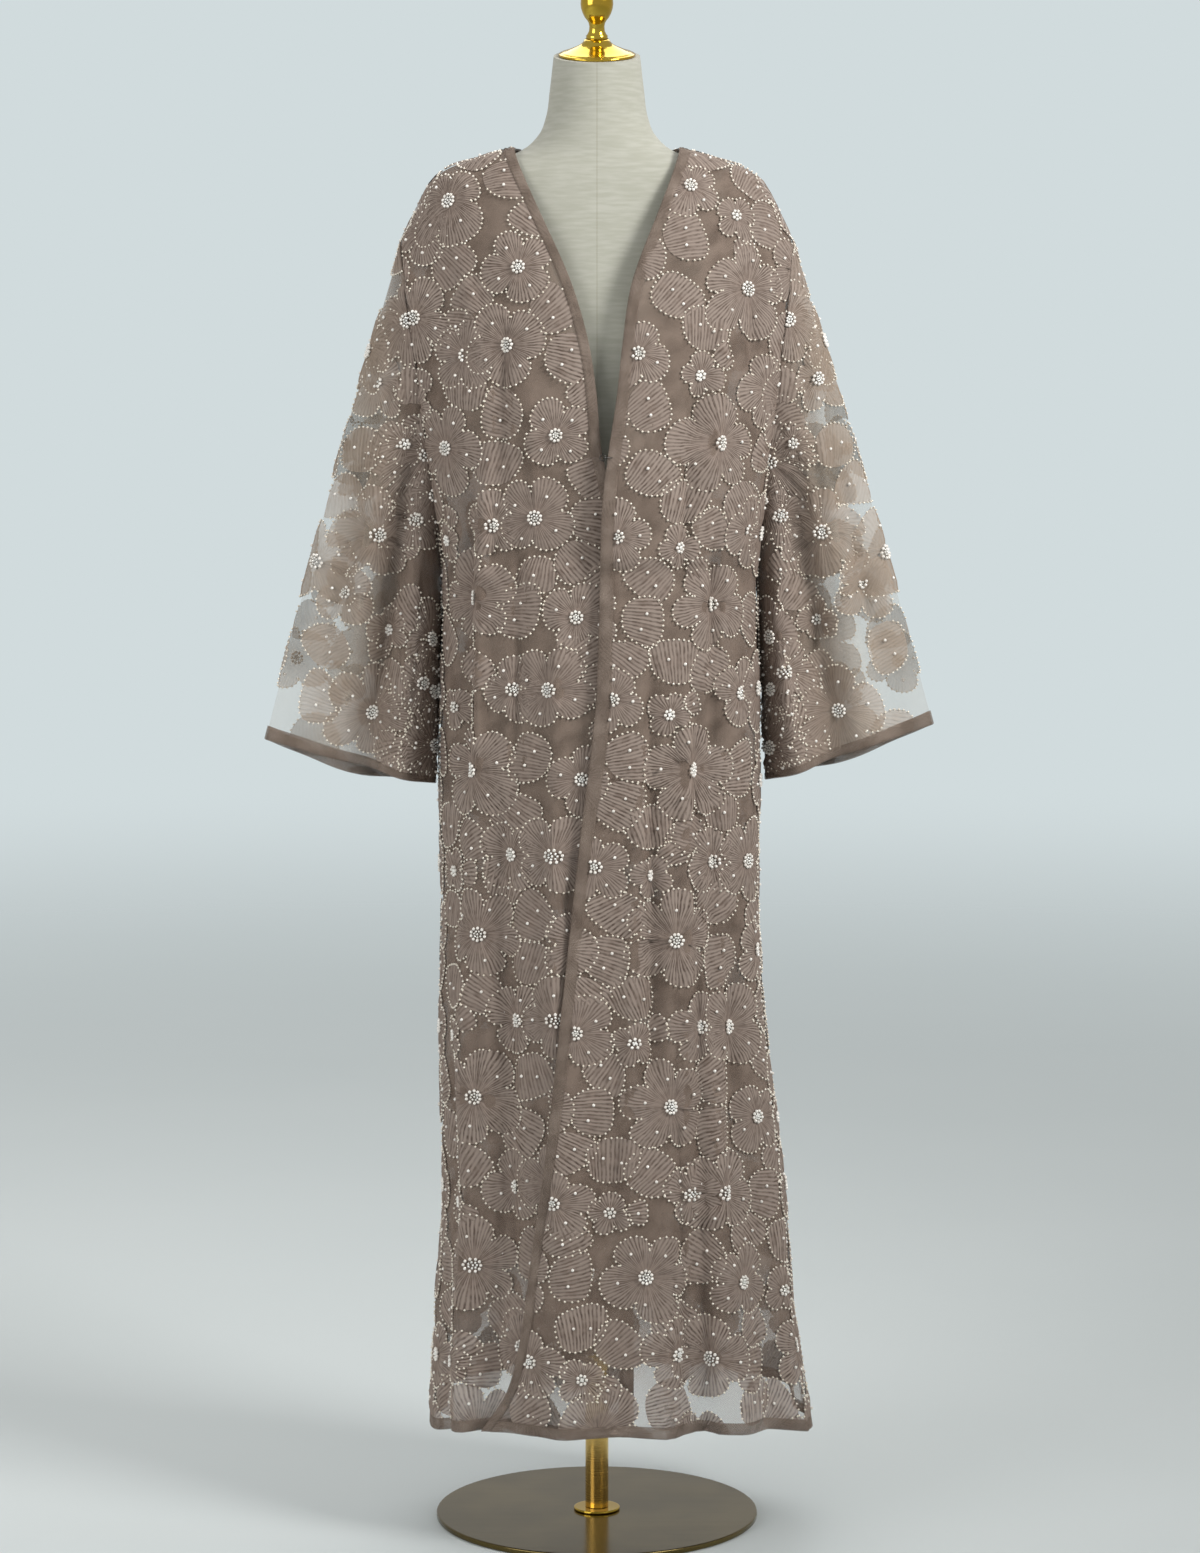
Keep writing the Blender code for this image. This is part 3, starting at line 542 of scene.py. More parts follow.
class Finish:
    """A material whose nodes are added by kind, with inputs given by name."""

    def __init__(self, name, **values):
        self.material = bpy.data.materials.new(name)
        self.material.use_nodes = True
        self.tree = self.material.node_tree
        self.shader = self.tree.nodes["Principled BSDF"]
        self.join(self.shader, {key.replace("_", " "): value for key, value in values.items()})

    def join(self, item, inputs):
        """Links an input that is another node's output, and sets one that is a plain value."""
        for key, value in inputs.items():
            if isinstance(value, bpy.types.NodeSocket):
                self.tree.links.new(value, item.inputs[key])
            else:
                item.inputs[key].default_value = value

    def add(self, kind, inputs=None, output=0, **settings):
        """Adds a node and gives back one of its outputs."""
        item = self.tree.nodes.new(kind)
        for key, value in settings.items():
            setattr(item, key, value)
        self.join(item, inputs or {})
        return item.outputs[output]

    def math(self, operation, first, second=0.0, third=0.0):
        """One operation on up to three numbers."""
        return self.add("ShaderNodeMath", {0: first, 1: second, 2: third}, operation=operation)

    def ramp(self, value, low, high, to_low=0.0, to_high=1.0):
        """An easing from to_low to to_high as value goes from low to high."""
        inputs = {0: value, 1: low, 2: high, 3: to_low, 4: to_high}
        return self.add("ShaderNodeMapRange", inputs, interpolation_type="SMOOTHSTEP")

    def mix(self, factor, first, second):
        """The first colour where factor is 0 and the second where it is 1."""
        return self.add("ShaderNodeMix", {0: factor, 6: first, 7: second}, output=2, data_type="RGBA")

    def number(self, name):
        """A named number that the mesh carries on its points."""
        return self.add("ShaderNodeAttribute", output=2, attribute_name=name)

    def place(self, scale=(1, 1, 1), pattern=False):
        """Where a point is: in the object's own metres, or along the cloth by its pattern coordinates."""
        source = self.add("ShaderNodeTexCoord", output=2 if pattern else 3)
        return self.add("ShaderNodeMapping", {0: source, 3: scale})

    def noise(self, place, scale, detail=3.0):
        """A soft cloud from 0 to 1."""
        return self.add("ShaderNodeTexNoise", {"Vector": place, "Scale": scale, "Detail": detail})

    def bump(self, height, distance, strength=1.0):
        """Tilts the shading normal as a surface raised by height times distance would."""
        return self.add("ShaderNodeBump", {"Height": height, "Distance": distance, "Strength": strength})


def shade(red, green, blue):
    """A colour from 0 to 255 screen values, made linear by the screen's curve, a power of 2.4."""
    part = np.array([red, green, blue]) / 255
    return (*np.where(part > 0.04045, ((part + 0.055) / 1.055) ** 2.4, part / 12.92).tolist(), 1.0)


print("half-bright grey is", round(shade(128, 128, 128)[0], 3), "of white's light")

# %% [markdown]
# Bobbin net is a grid of fine threads with air between them, so it hides some of what is behind it
# everywhere and all of it nowhere. The threads are drawn as three sets of lines that cross at 60 degrees,
# and the number "cover" on each point of the cloth says how much they hide there. A panel has two faces,
# a little apart, and the net shows on the face that is turned to the eye and not on the other one.

# %% The net
NET_CELL = 0.0013
THREAD_EDGE = (0.12, 0.42)  # sine of the place in a cell where a thread ends and where the air begins
THREAD_COVER = (0.80, 1.30)  # how the cover changes from the air to a thread
CLOUD_SCALE, CLOUD_COVER = 34.0, (0.90, 1.10)
# the second number is how far the net on a sleeve's clear width is painted lighter, as painted light from the
# bright surround
SEAM_TONE, CLEAR_NET_PAINTED_LIGHT = 0.55, 0.80  # how far a seam is darkened, and a sleeve's free width lightened


def net_finish(name, colour, dark, roughness=0.75):
    """Thread lines where the smallest of three sines is small; alpha is cover, more on the threads."""
    net = Finish(name, Roughness=roughness, Sheen_Weight=0.10, Sheen_Roughness=0.5,
                 Sheen_Tint=shade(190, 160, 140), Specular_IOR_Level=0.15)
    flat = net.place(pattern=True)
    lines = None
    for angle in (0.0, 60.0, 120.0):
        turn = math.radians(angle)
        across = net.add("ShaderNodeVectorMath", {0: flat, 1: (math.cos(turn), math.sin(turn), 0.0)},
                         output=1, operation="DOT_PRODUCT")
        wave = net.math("ABSOLUTE", net.math("SINE", net.math("MULTIPLY", across, math.pi / NET_CELL)))
        lines = wave if lines is None else net.math("MINIMUM", lines, wave)
    thread = net.ramp(lines, *THREAD_EDGE, 1.0, 0.0)
    cloud = net.noise(flat, CLOUD_SCALE, 4.0)
    cover = net.math("MULTIPLY", net.number("cover"), net.ramp(cloud, 0.25, 0.75, *CLOUD_COVER))
    alpha = net.math("MULTIPLY", cover, net.ramp(thread, 0.0, 1.0, *THREAD_COVER))
    facing = net.math("SUBTRACT", 1.0, net.add("ShaderNodeNewGeometry", output=6))
    net.join(net.shader, {"Alpha": net.math("MULTIPLY", net.math("MINIMUM", alpha, 1.0), facing)})
    tone = net.mix(net.ramp(cloud, 0.2, 0.8), shade(*dark), shade(*colour))
    tone = net.mix(net.math("MULTIPLY", net.number("seam"), SEAM_TONE), tone, shade(*dark))
    # painted light: on a sleeve's clear width the net is lighter and warmer, as painted light from the bright
    # surround that shines through it
    tone = net.mix(net.math("MULTIPLY", net.number("clear"), CLEAR_NET_PAINTED_LIGHT), tone, shade(204, 192, 174))
    net.join(net.shader, {"Base Color": tone, "Normal": net.bump(thread, 0.0002, 0.4)})
    return net.material


net_material = net_finish("tulle_net", (138, 122, 111), (112, 97, 87))
print("net:", round(1 / NET_CELL / 100, 1), "threads a centimetre in each direction")

# %% [markdown]
# Real net is about equally clear all over, as it is here on the free width of the sleeves. Such a cloak is
# worn over a dress, which isn't part of this piece and is what makes the net look solid. So its look is
# copied in "cover": high on the body and on the part of a sleeve beside it, and lower at the hem.
# The net that is folded in at a sewn seam makes a darker line there.

# %% The net on each panel
COVER_BODY, COVER_HEM, COVER_SLEEVE_OUT, COVER_SLEEVE_IN, COVER_SEAM = 0.76, 0.32, 0.12, 0.76, 0.22
HEM_CLEAR = (0.02, 0.17)  # heights above the hem between which the net grows denser
CLEAR_FROM = 0.20  # distance from the middle where a sleeve starts to clear
CLEAR_WIDTH = (0.075, 0.07)  # it clears over this width at the top, and over this much more at the cuff
CLEAR_TOP, CLEAR_TALL = 1.3, 0.45
SEAM_FROM, SEAM_FADE = 0.0054, 0.0072  # the allowance ends this far from its seam, over this length
CLOTH_WALL = 0.0005


def seam_share(grid, seams):
    """1 less an easing from the nearest sewn side: 1 on its folded-in allowance and 0 away from it."""
    distance = side_distances(grid)
    nearest = np.min([distance[seam] for seam in seams], axis=0)
    return 1 - ease_in(nearest - SEAM_FROM, SEAM_FADE)


def clear_share(points, sleeve):
    """Easing outwards from CLEAR_FROM, over a width that grows down the sleeve; 0 on the body."""
    width = CLEAR_WIDTH[0] + CLEAR_WIDTH[1] * np.clip((CLEAR_TOP - points[..., 2]) / CLEAR_TALL, 0, 1)
    return ease_in(np.abs(points[..., 0]) - CLEAR_FROM, width) * sleeve


def net_cover(panel):
    """Cover eased between its two values: over a sleeve's clear share, or up from the hem."""
    grid = panel["grid"]
    if panel["around"]:
        return COVER_SLEEVE_IN + (COVER_SLEEVE_OUT - COVER_SLEEVE_IN) * clear_share(grid, True)
    rise = run_along(grid, 0)
    return COVER_HEM + (COVER_BODY - COVER_HEM) * ease_in(rise - HEM_CLEAR[0], HEM_CLEAR[1] - HEM_CLEAR[0])


pieces = {}
for name, panel in panels.items():
    grid, around = panel["grid"], panel["around"]
    rows, columns = grid.shape[:2]
    faces, pattern_faces = grid_faces(rows, columns, around, panel["outward"] < 0)
    whole = np.concatenate([grid, grid[:, :1]], axis=1) if around else grid
    flat = np.stack([run_along(whole, 1), run_along(whole, 0)], axis=-1).reshape(-1, 2)
    seam = seam_share(grid, panel["seams"])
    cover = net_cover(panel) + COVER_SEAM * seam
    item = make_piece(name + "_net", grid.reshape(-1, 3), faces, net_material, flat[pattern_faces],
                      {"cover": cover, "seam": seam, "clear": clear_share(grid, around)})
    walled(item, CLOTH_WALL)
    pieces[name] = finish_piece(item, "embroidered_net", name)
    panel["flat"] = flat.reshape(whole.shape[:2] + (2,))
print("panels:", ", ".join(pieces))

# %% [markdown]
# The free edges are turned: the net is folded to the outside, over the edge of the flowers, and stitched
# down. A turned hem is a strip that starts inside the panel, rounds its edge and lies on the outside, so
# its cross-section is a narrow U carried along the panel's own rows or columns of points.

# %% Turned hems
HEM_IN, HEM_OUT, HEM_TIP = -0.0011, 0.0014, 0.0009
HEM_WALL = 0.0004
COVER_BAND = 0.60
BAND_TONE, RAW_EDGE_TONE, FOLD_TONE = 0.15, 0.60, 0.35  # how dark a hem is, and its raw edge and its fold
RAW_EDGE, FOLD = 0.95, 0.20  # shares of the half width past which, and short of which, those lie

hem_material = net_finish("turned_net", (152, 137, 126), (106, 92, 82), 0.8)


def turned_hem(name, panel, lines, width_axis, ends, slot_nodes):
    """A U along an edge: in under the panel's lines, round the tip and back over them outside."""
    take = [panel["grid"], panel["normals"]]
    if width_axis == 0:
        take = [np.moveaxis(part, 0, 1) for part in take]
    grid, normals = (part[ends][:, lines] for part in take)
    tip_run = grid[:, 0] - grid[:, 1]
    tip_run /= np.linalg.norm(tip_run, axis=-1, keepdims=True)
    outside = grid + normals * HEM_OUT
    inside = grid + normals * HEM_IN
    tip = grid[:, 0] + tip_run * HEM_TIP + normals[:, 0] * (HEM_IN + HEM_OUT) / 2
    strip = np.concatenate([inside[:, ::-1], tip[:, None], outside], axis=1)
    closes = panel["around"]
    whole = np.concatenate([strip, strip[:1]], axis=0) if closes else strip
    flat = np.stack([run_along(whole, 0), run_along(whole, 1)], axis=-1)
    rows, columns = strip.shape[:2]
    faces, pattern = grid_faces(columns, rows, around=closes)
    faces_in = np.dot(grid_normals(strip, False)[rows // 2, -1], normals[rows // 2, -1]) > 0
    if faces_in:
        faces, pattern = faces[:, ::-1], pattern[:, ::-1]
    points = np.moveaxis(strip, 0, 1).reshape(-1, 3)
    flat = np.moveaxis(flat, 0, 1).reshape(-1, 2)
    edge = np.abs(np.arange(columns) - (columns - 1) / 2) / ((columns - 1) / 2)
    tone = BAND_TONE + RAW_EDGE_TONE * (edge > RAW_EDGE) + FOLD_TONE * (edge < FOLD)
    seam = np.broadcast_to(tone[:, None], (columns, rows))
    item = make_piece(name, points, faces, hem_material, flat[pattern],
                      {"cover": np.full(len(points), COVER_BAND), "seam": seam})
    walled(item, HEM_WALL)
    return finish_piece(item, "turned_hem", *slot_nodes)


neck_half = int(NECK_SHARE * BACK_STEPS / 2)
neck_span = slice(BACK_STEPS // 2 - neck_half, BACK_STEPS // 2 + neck_half + 1)
whole_edge = slice(None)
first_lines = list(range(BAND_STEPS + 1))
last_lines = list(range(-1, -BAND_STEPS - 2, -1))
HEMS = (
    # name, panel, its lines from the free edge inwards, axis of the width, stretch of the edge
    ("edge_hem_left", "front_left", first_lines, 1, whole_edge),
    ("edge_hem_right", "front_right", last_lines, 1, whole_edge),
    ("bottom_hem_front_left", "front_left", first_lines, 0, slice(BAND_STEPS, None)),
    ("bottom_hem_front_right", "front_right", first_lines, 0, slice(None, -BAND_STEPS)),
    ("bottom_hem_back", "back", first_lines, 0, whole_edge),
    ("cuff_hem_left", "sleeve_left", last_lines, 0, whole_edge),
    ("cuff_hem_right", "sleeve_right", last_lines, 0, whole_edge),
    ("neck_hem_back", "back", last_lines, 0, neck_span),
)
for name, panel, lines, axis, ends in HEMS:
    pieces[name] = turned_hem(name + "_fold", panels[panel], lines, axis, ends, (name,))
print("hems:", len(HEMS))

# %% [markdown]
# The flowers repeat every 256 mm across the cloth and every 182 mm up it, five to a repeat, and each next
# repeat across is set half a step higher. Some have one or two petals sewn on beside them, and single
# petals lie wherever the net would be bare. So the layout is worked out flat: the flowers come from the
# half-drop rule with a little jitter, and then each petal goes where a raster of test places is furthest
# from everything laid so far. A motif's rank says what it lies over.

# %% Laying the flowers out flat
REPEAT_ACROSS, REPEAT_UP = 0.256, 0.182
JITTER = 0.005
SIZE_RANGE = (0.93, 1.06)
# kind: radius, lobes, pearls in the ring, crystals inside it, petals beside it
FLOWERS = {
    "large": (0.047, 4, 10, 7, 2),
    "wide": (0.052, 5, 10, 7, 1),
    "medium": (0.039, 4, 9, 6, 0),
    "small": (0.025, 4, 7, 4, 1),
}
KINDS = list(FLOWERS)
SINGLE = len(KINDS)  # kind number of a petal that stands by itself
# kind, share of the repeat across, share of it up
REPEAT = (
    ("large", 0.00, 0.00), ("medium", 0.15, 0.46), ("small", 0.42, 0.40),
    ("wide", 0.60, 0.02), ("medium", 0.80, 0.50),
)
BESIDE_SIZE, BESIDE_TUCK = 0.0265, 0.90  # half width of a petal beside a flower, how far out it starts
PETAL_LARGEST, PETAL_SMALLEST = 0.028, 0.015  # half widths of a petal that fills a gap
PETAL_GROWTH = 1.25  # such a petal's half width to the room around its middle
RASTER = 0.007
CLOSE = 0.93  # share of a motif's size that neighbours keep clear of
PETAL_CLOSE = 0.92  # the same for a petal that fills a gap
# which motif lies over which
FILL_RANK, BESIDE_RANK, FLOWER_RANK, RANK_STEP = 0.0, 1.0, 2.0, 0.5


def repeated_flowers(width, height, slant, random):
    """Rows of x, y, kind, size, turn and rank: every second repeat is set half a repeat higher."""
    repeats = np.arange(-1, int(width / REPEAT_ACROSS) + 3), np.arange(-2, int(height / REPEAT_UP) + 3)
    i, j = (part.ravel() for part in np.meshgrid(*repeats))
    rows = []
    for kind, across, up in REPEAT:
        y = (j + up + 0.5 * (i % 2)) * REPEAT_UP
        x = (i + across) * REPEAT_ACROSS + slant * y
        spot = np.stack([x, y], axis=-1) + random.uniform(-JITTER, JITTER, (len(x), 2))
        size = FLOWERS[kind][0] * random.uniform(*SIZE_RANGE, len(x))
        turn = random.uniform(0, 2 * math.pi, len(x))
        rank = FLOWER_RANK + RANK_STEP * (i % 2)
        rows.append(np.column_stack([spot, np.full(len(x), KINDS.index(kind)), size, turn, rank]))
    laid = np.concatenate(rows)
    margin = FLOWERS["wide"][0]
    near = np.abs(laid[:, :2] - [width / 2, height / 2]) < [width / 2 + margin, height / 2 + margin]
    return laid[near.all(axis=1)]


def petals_beside(flowers, random):
    """Petals that touch a flower: their pleats point at its middle, and two of them stand side by side."""
    count = np.array([FLOWERS[kind][4] for kind in KINDS])[flowers[:, 2].astype(int)]
    turn = random.uniform(-math.pi / 3, math.pi / 3, len(flowers))
    rows = []
    for side in (0, 1):
        chosen = count > side
        x, y, _, size, _, _ = flowers[chosen].T
        petal = BESIDE_SIZE * size / FLOWERS["large"][0]
        distance = size * BESIDE_TUCK + petal * PETAL_WAIST
        apart = np.where(count[chosen] > 1, np.arcsin(CLOSE * petal / distance), 0) * (2 * side - 1)
        direction = turn[chosen] + apart
        rows.append(np.stack([
            x + distance * np.cos(direction), y + distance * np.sin(direction), np.full(len(x), SINGLE),
            petal, direction - math.pi / 2, np.full(len(x), BESIDE_RANK + RANK_STEP * side),
        ], axis=-1))
    return np.concatenate(rows)


def flower_layout(width, height, slant, bare, seed):
    """All motifs of a flat sheet: a petal is added while some place has more than bare around it."""
    random = np.random.default_rng(seed)
    flowers = repeated_flowers(width, height, slant, random)
    laid = np.concatenate([flowers, petals_beside(flowers, random)])
    raster = np.meshgrid(np.arange(0, width, RASTER), np.arange(0, height, RASTER))
    test = np.stack(raster, axis=-1).reshape(-1, 2)
    test += random.uniform(-RASTER / 3, RASTER / 3, test.shape)
    away = np.linalg.norm(test[:, None] - laid[None, :, :2], axis=-1)
    room = np.min(away - laid[None, :, 3] * CLOSE, axis=1)
    petals = []
    while room.max() > bare:
        spot = test[int(room.argmax())]
        size = float(np.clip(room.max() * PETAL_GROWTH, PETAL_SMALLEST, PETAL_LARGEST))
        away = spot - flowers[np.linalg.norm(flowers[:, :2] - spot, axis=1).argmin(), :2]
        turn = math.atan2(away[1], away[0]) - math.pi / 2
        petals.append((*spot, SINGLE, size, turn, FILL_RANK + RANK_STEP * (len(petals) % 2)))
        room = np.minimum(room, np.linalg.norm(test - spot, axis=-1) - size * PETAL_CLOSE)
    return np.concatenate([laid, np.array(petals).reshape(-1, 6)])


print("a repeat:", ", ".join(kind for kind, _, _ in REPEAT))

# %% [markdown]
# A flower's outline is a circle whose radius swells into rounded lobes. A single petal's outline is a
# squared ellipse, a little narrower at one end. Both are cut from tulle that is gathered into fine pleats:
# the surface rises and falls from one column of points to the next, and it puffs up between the middle
# and the rim.

# %% Shapes of flowers and petals
NOTCH, LOBE_FULLNESS, LOBE_SWING, LOBE_LEAN = 0.50, 0.36, 0.24, 0.08
PETAL_SQUARE, PETAL_TAPER, PETAL_WAIST, PETAL_SKEW = 2.5, 0.22, 0.86, 0.20
PLEAT_PITCH = 0.0040  # of the fine pleats at the rim
FOLD_PITCH = 0.0066  # of the coarser folds that are modelled
PLEAT_RISE, PUFF, SEWN_LIFT = 0.0004, 0.0011, 0.0007
RIM_SHARE = 0.88  # a flower's mean radius as a share of its size
PUFF_CURVE = 1.4  # above 1 it puts the puff nearer to the rim
PETAL_END = 0.985  # the sheet stops this near to the pointed ends of its ellipse
PETAL_FROM = 0.35  # pattern coordinate on a petal's middle line; it is 1 at the rim
FLOWER_RINGS = np.array([0.10, 0.45, 0.76, 1.0])
PETAL_ROWS = np.linspace(-1, 1, 5)


def lobed_radius(turn, size, lobes, wobble):
    """The notch share and the rest times |cos of half the lobes' turn| to a power; it leans a little."""
    swing = turn + LOBE_SWING * np.sin(turn + wobble)
    lobe = np.abs(np.cos(lobes * swing / 2)) ** LOBE_FULLNESS
    return size * (1 + LOBE_LEAN * np.cos(turn + 2.3 * wobble)) * (NOTCH + (1 - NOTCH) * lobe)


def petal_point(side, end, size, wobble):
    """Squared ellipse: side and end run from -1 to 1. It widens towards its upper end, and it leans."""
    reach = np.clip(1 - np.abs(side) ** PETAL_SQUARE, 0, 1) ** (1 / PETAL_SQUARE)
    y = size * PETAL_WAIST * reach * end
    x = size * side * (1 + PETAL_TAPER * y / size) + PETAL_SKEW * math.sin(wobble) * y
    return x, y


def petal_radius(turn, size):
    """The squared ellipse from its middle: the sum of the powers of its two shares is one."""
    share = np.abs(np.cos(turn)) ** PETAL_SQUARE + np.abs(np.sin(turn) / PETAL_WAIST) ** PETAL_SQUARE
    return size * share ** (-1 / PETAL_SQUARE)


print("a petal 2 cm wide is", round(20 * PETAL_WAIST, 1), "mm tall")

# %% Their gathered sheets


def flower_sheet(size, lobes, wobble):
    """Polar grid round a middle that a fan closes: offsets with lift, then patterns and faces of both."""
    folds = round(2 * math.pi * size * RIM_SHARE / FOLD_PITCH)
    pleats = round(2 * math.pi * size * RIM_SHARE / PLEAT_PITCH)
    step = np.arange(2 * folds)
    turn = step * math.pi / folds
    radius = lobed_radius(turn, size, lobes, wobble)
    ring = FLOWER_RINGS[:, None]
    across, up = ring * radius * np.cos(turn), ring * radius * np.sin(turn)
    ridge = PLEAT_RISE * ring * np.where(step % 2, 1.0, -1.0)
    lift = SEWN_LIFT + PUFF * np.sin(np.pi * ring**PUFF_CURVE) + ridge + 0 * turn
    faces, pattern = grid_faces(len(FLOWER_RINGS), 2 * folds, around=True, flip=True)
    count = np.arange(2 * folds + 1) * pleats / (2 * folds)
    flat = np.stack(np.broadcast_arrays(count, ring), axis=-1)
    middle = len(FLOWER_RINGS) * 2 * folds
    fan = np.stack([np.full(2 * folds, middle), step, (step + 1) % (2 * folds)], axis=-1)
    fan_count = step[:, None] * pleats / (2 * folds) + [[0.5, 0, 1]]
    fan_ring = [[0.0, FLOWER_RINGS[0], FLOWER_RINGS[0]]]
    fan_flat = np.stack(np.broadcast_arrays(fan_count, fan_ring), axis=-1)
    offsets = np.stack([np.append(across, 0), np.append(up, 0), np.append(lift, SEWN_LIFT)], axis=-1)
    return offsets, flat.reshape(-1, 2)[pattern].reshape(-1, 2), faces, fan_flat.reshape(-1, 2), fan


def petal_sheet(size, wobble):
    """Grid of a single petal, with the pleats side by side along it. It has no middle, so no fan."""
    folds = max(4, round(2 * size / FOLD_PITCH))
    pleats = round(2 * size / PLEAT_PITCH)
    side = np.linspace(-PETAL_END, PETAL_END, 2 * folds + 1)
    end = PETAL_ROWS[:, None]
    x, y = petal_point(side, end, size, wobble)
    ridge = PLEAT_RISE * np.where(np.arange(2 * folds + 1) % 2, 1.0, -1.0)
    lift = SEWN_LIFT + PUFF * (1 - end**2) * (1 - side**4) + ridge
    faces, pattern = grid_faces(len(PETAL_ROWS), 2 * folds + 1)
    outwards = PETAL_FROM + (1 - PETAL_FROM) * np.abs(end)
    flat = np.stack(np.broadcast_arrays((side + 1) / 2 * pleats, outwards), axis=-1)
    offsets = np.stack([np.broadcast_to(x, lift.shape), y, lift], axis=-1).reshape(-1, 3)
    pattern_of_faces = flat.reshape(-1, 2)[pattern].reshape(-1, 2)
    return offsets, pattern_of_faces, faces, np.empty((0, 2)), np.empty((0, 3), int)


print("a large flower has", len(flower_sheet(*FLOWERS["large"][:2], 0.0)[0]), "points")


# %% [markdown]
# A closed outline read at even steps gives the row of beads round it. The cluster in the middle of a
# flower is a ring of round pearls with silver crystals inside, and a single pearl or two holds down each
# lobe and each petal.

# %% Beads of one motif
BEAD_STEP, BEAD_SIZE, PEARL_SIZE, RING_PEARL, CRYSTAL_SIZE = 0.0058, 0.00155, 0.0020, 0.0021, 0.0018
RING_PACK = 1.02  # circumference of the pearl ring as a share of its pearls side by side
CRYSTAL_PACK = 0.75  # how far into the ring, in crystals, the inner crystals stand
LOBE_PEARL = 0.60  # place of a lobe's pearl, as a share of the flower's size
LOBED_FROM = 1.2 * FLOWERS["small"][0]  # larger flowers have a pearl on each lobe
TWO_PEARLS_FROM = 0.024  # larger petals have two pearls
OUTLINE_READ = 360  # steps of the dense reading


def even_outline(x, y):
    """Points every BEAD_STEP along a closed outline, from its dense reading."""
    x, y = np.append(x, x[0]), np.append(y, y[0])
    run = np.concatenate([[0], np.cumsum(np.hypot(np.diff(x), np.diff(y)))])
    at = np.arange(round(run[-1] / BEAD_STEP)) * BEAD_STEP
    return np.stack([np.interp(at, run, x), np.interp(at, run, y)], axis=-1)


def flower_beads(size, lobes, wobble, ring_pearls, crystals):
    """Outline beads, ring pearls, lobe pearls and crystals: offsets in the plane of the cloth."""
    turn = np.linspace(0, 2 * math.pi, OUTLINE_READ, endpoint=False)
    radius = lobed_radius(turn, size, lobes, wobble)
    outline = even_outline(radius * np.cos(turn), radius * np.sin(turn))
    ring_turn = np.arange(ring_pearls) * 2 * math.pi / ring_pearls + wobble
    ring_radius = RING_PACK * ring_pearls * 2 * RING_PEARL / (2 * math.pi)
    ring = ring_radius * np.stack([np.cos(ring_turn), np.sin(ring_turn)], axis=-1)
    inner_turn = np.arange(crystals) * 2 * math.pi / crystals
    inner_radius = max(ring_radius - RING_PEARL - CRYSTAL_SIZE * CRYSTAL_PACK, 0.0)
    inner = inner_radius * np.stack([np.cos(inner_turn), np.sin(inner_turn)], axis=-1)
    lobe_turn = (np.arange(lobes) * 2 * math.pi / lobes) - LOBE_SWING * np.sin(wobble)
    lobe = LOBE_PEARL * size * np.stack([np.cos(lobe_turn), np.sin(lobe_turn)], axis=-1)
    lobe = lobe if size > LOBED_FROM else lobe[:0]
    return outline, ring, lobe, np.append(inner, [[0, 0]], axis=0)


def petal_beads(size, wobble):
    """Outline beads and one or two pearls on the petal's middle line."""
    turn = np.linspace(0, 2 * math.pi, OUTLINE_READ, endpoint=False)
    side = signed_power(np.cos(turn), 2 / PETAL_SQUARE)
    x, y = petal_point(side, np.sign(np.sin(turn)), size, wobble)
    spots = np.array([[-0.3, 0.1], [0.35, -0.1]] if size > TWO_PEARLS_FROM else [[0.05, 0.0]])
    return even_outline(x, y), spots * size


print("beads round a petal 5 cm wide:", len(petal_beads(0.025, 0.0)[0]))

# %% [markdown]
# Now the flat flowers go onto the hanging cloth. For each motif the cloth's own two directions at its
# centre are found as an average over a few rows and columns. They turn an offset in metres into a step in
# rows and columns, with the lean between the two directions allowed for. The surface is then read at that
# place, and the point is moved out along the normal by its lift. What falls outside a panel is left off,
# as the seam would cut it.

# %% Carrying flat shapes onto a panel
REACH = 6  # rows and columns over which the cloth's directions are averaged


def read_surface(panel, row, col):
    """Bilinear reading of a panel's points and normals at fractional rows and columns."""
    grid, normals = panel["grid"], panel["normals"]
    rows, columns = grid.shape[:2]
    row = np.clip(row, 0, rows - 1)
    col = np.mod(col, columns) if panel["around"] else np.clip(col, 0, columns - 1)
    r0 = np.minimum(row.astype(int), rows - 2)
    c0 = col.astype(int) if panel["around"] else np.minimum(col.astype(int), columns - 2)
    c0 = c0 % columns
    c1 = (c0 + 1) % columns
    tr, tc = (row - r0)[:, None], (col - c0)[:, None]
    found = []
    for part in (grid, normals):
        low = part[r0, c0] * (1 - tc) + part[r0, c1] * tc
        high = part[r0 + 1, c0] * (1 - tc) + part[r0 + 1, c1] * tc
        found.append(low * (1 - tr) + high * tr)
    found[1] /= np.linalg.norm(found[1], axis=-1, keepdims=True)
    return found


def cloth_steps(panel, row, col):
    """At each centre: metres across a column, sideways lean a row, and metres up a row."""
    rows, columns = panel["grid"].shape[:2]
    middle_row = np.clip(row, 0, rows - 1)
    middle_col = col if panel["around"] else np.clip(col, 0, columns - 1)
    low_row, high_row = np.clip(middle_row - REACH, 0, rows - 1), np.clip(middle_row + REACH, 0, rows - 1)
    low_col, high_col = middle_col - REACH, middle_col + REACH
    if not panel["around"]:
        low_col, high_col = np.clip(low_col, 0, columns - 1), np.clip(high_col, 0, columns - 1)
    across = read_surface(panel, middle_row, high_col)[0] - read_surface(panel, middle_row, low_col)[0]
    up = read_surface(panel, high_row, middle_col)[0] - read_surface(panel, low_row, middle_col)[0]
    across /= (high_col - low_col)[:, None]
    up /= (high_row - low_row)[:, None]
    wide = np.linalg.norm(across, axis=-1)
    lean = np.sum(up * across, axis=-1) / wide
    tall = np.sqrt(np.maximum(np.sum(up * up, axis=-1) - lean**2, 1e-12))
    return wide, lean, tall


print("directions are averaged over", 2 * REACH, "rows and columns")

# %% Where each motif's centre lies


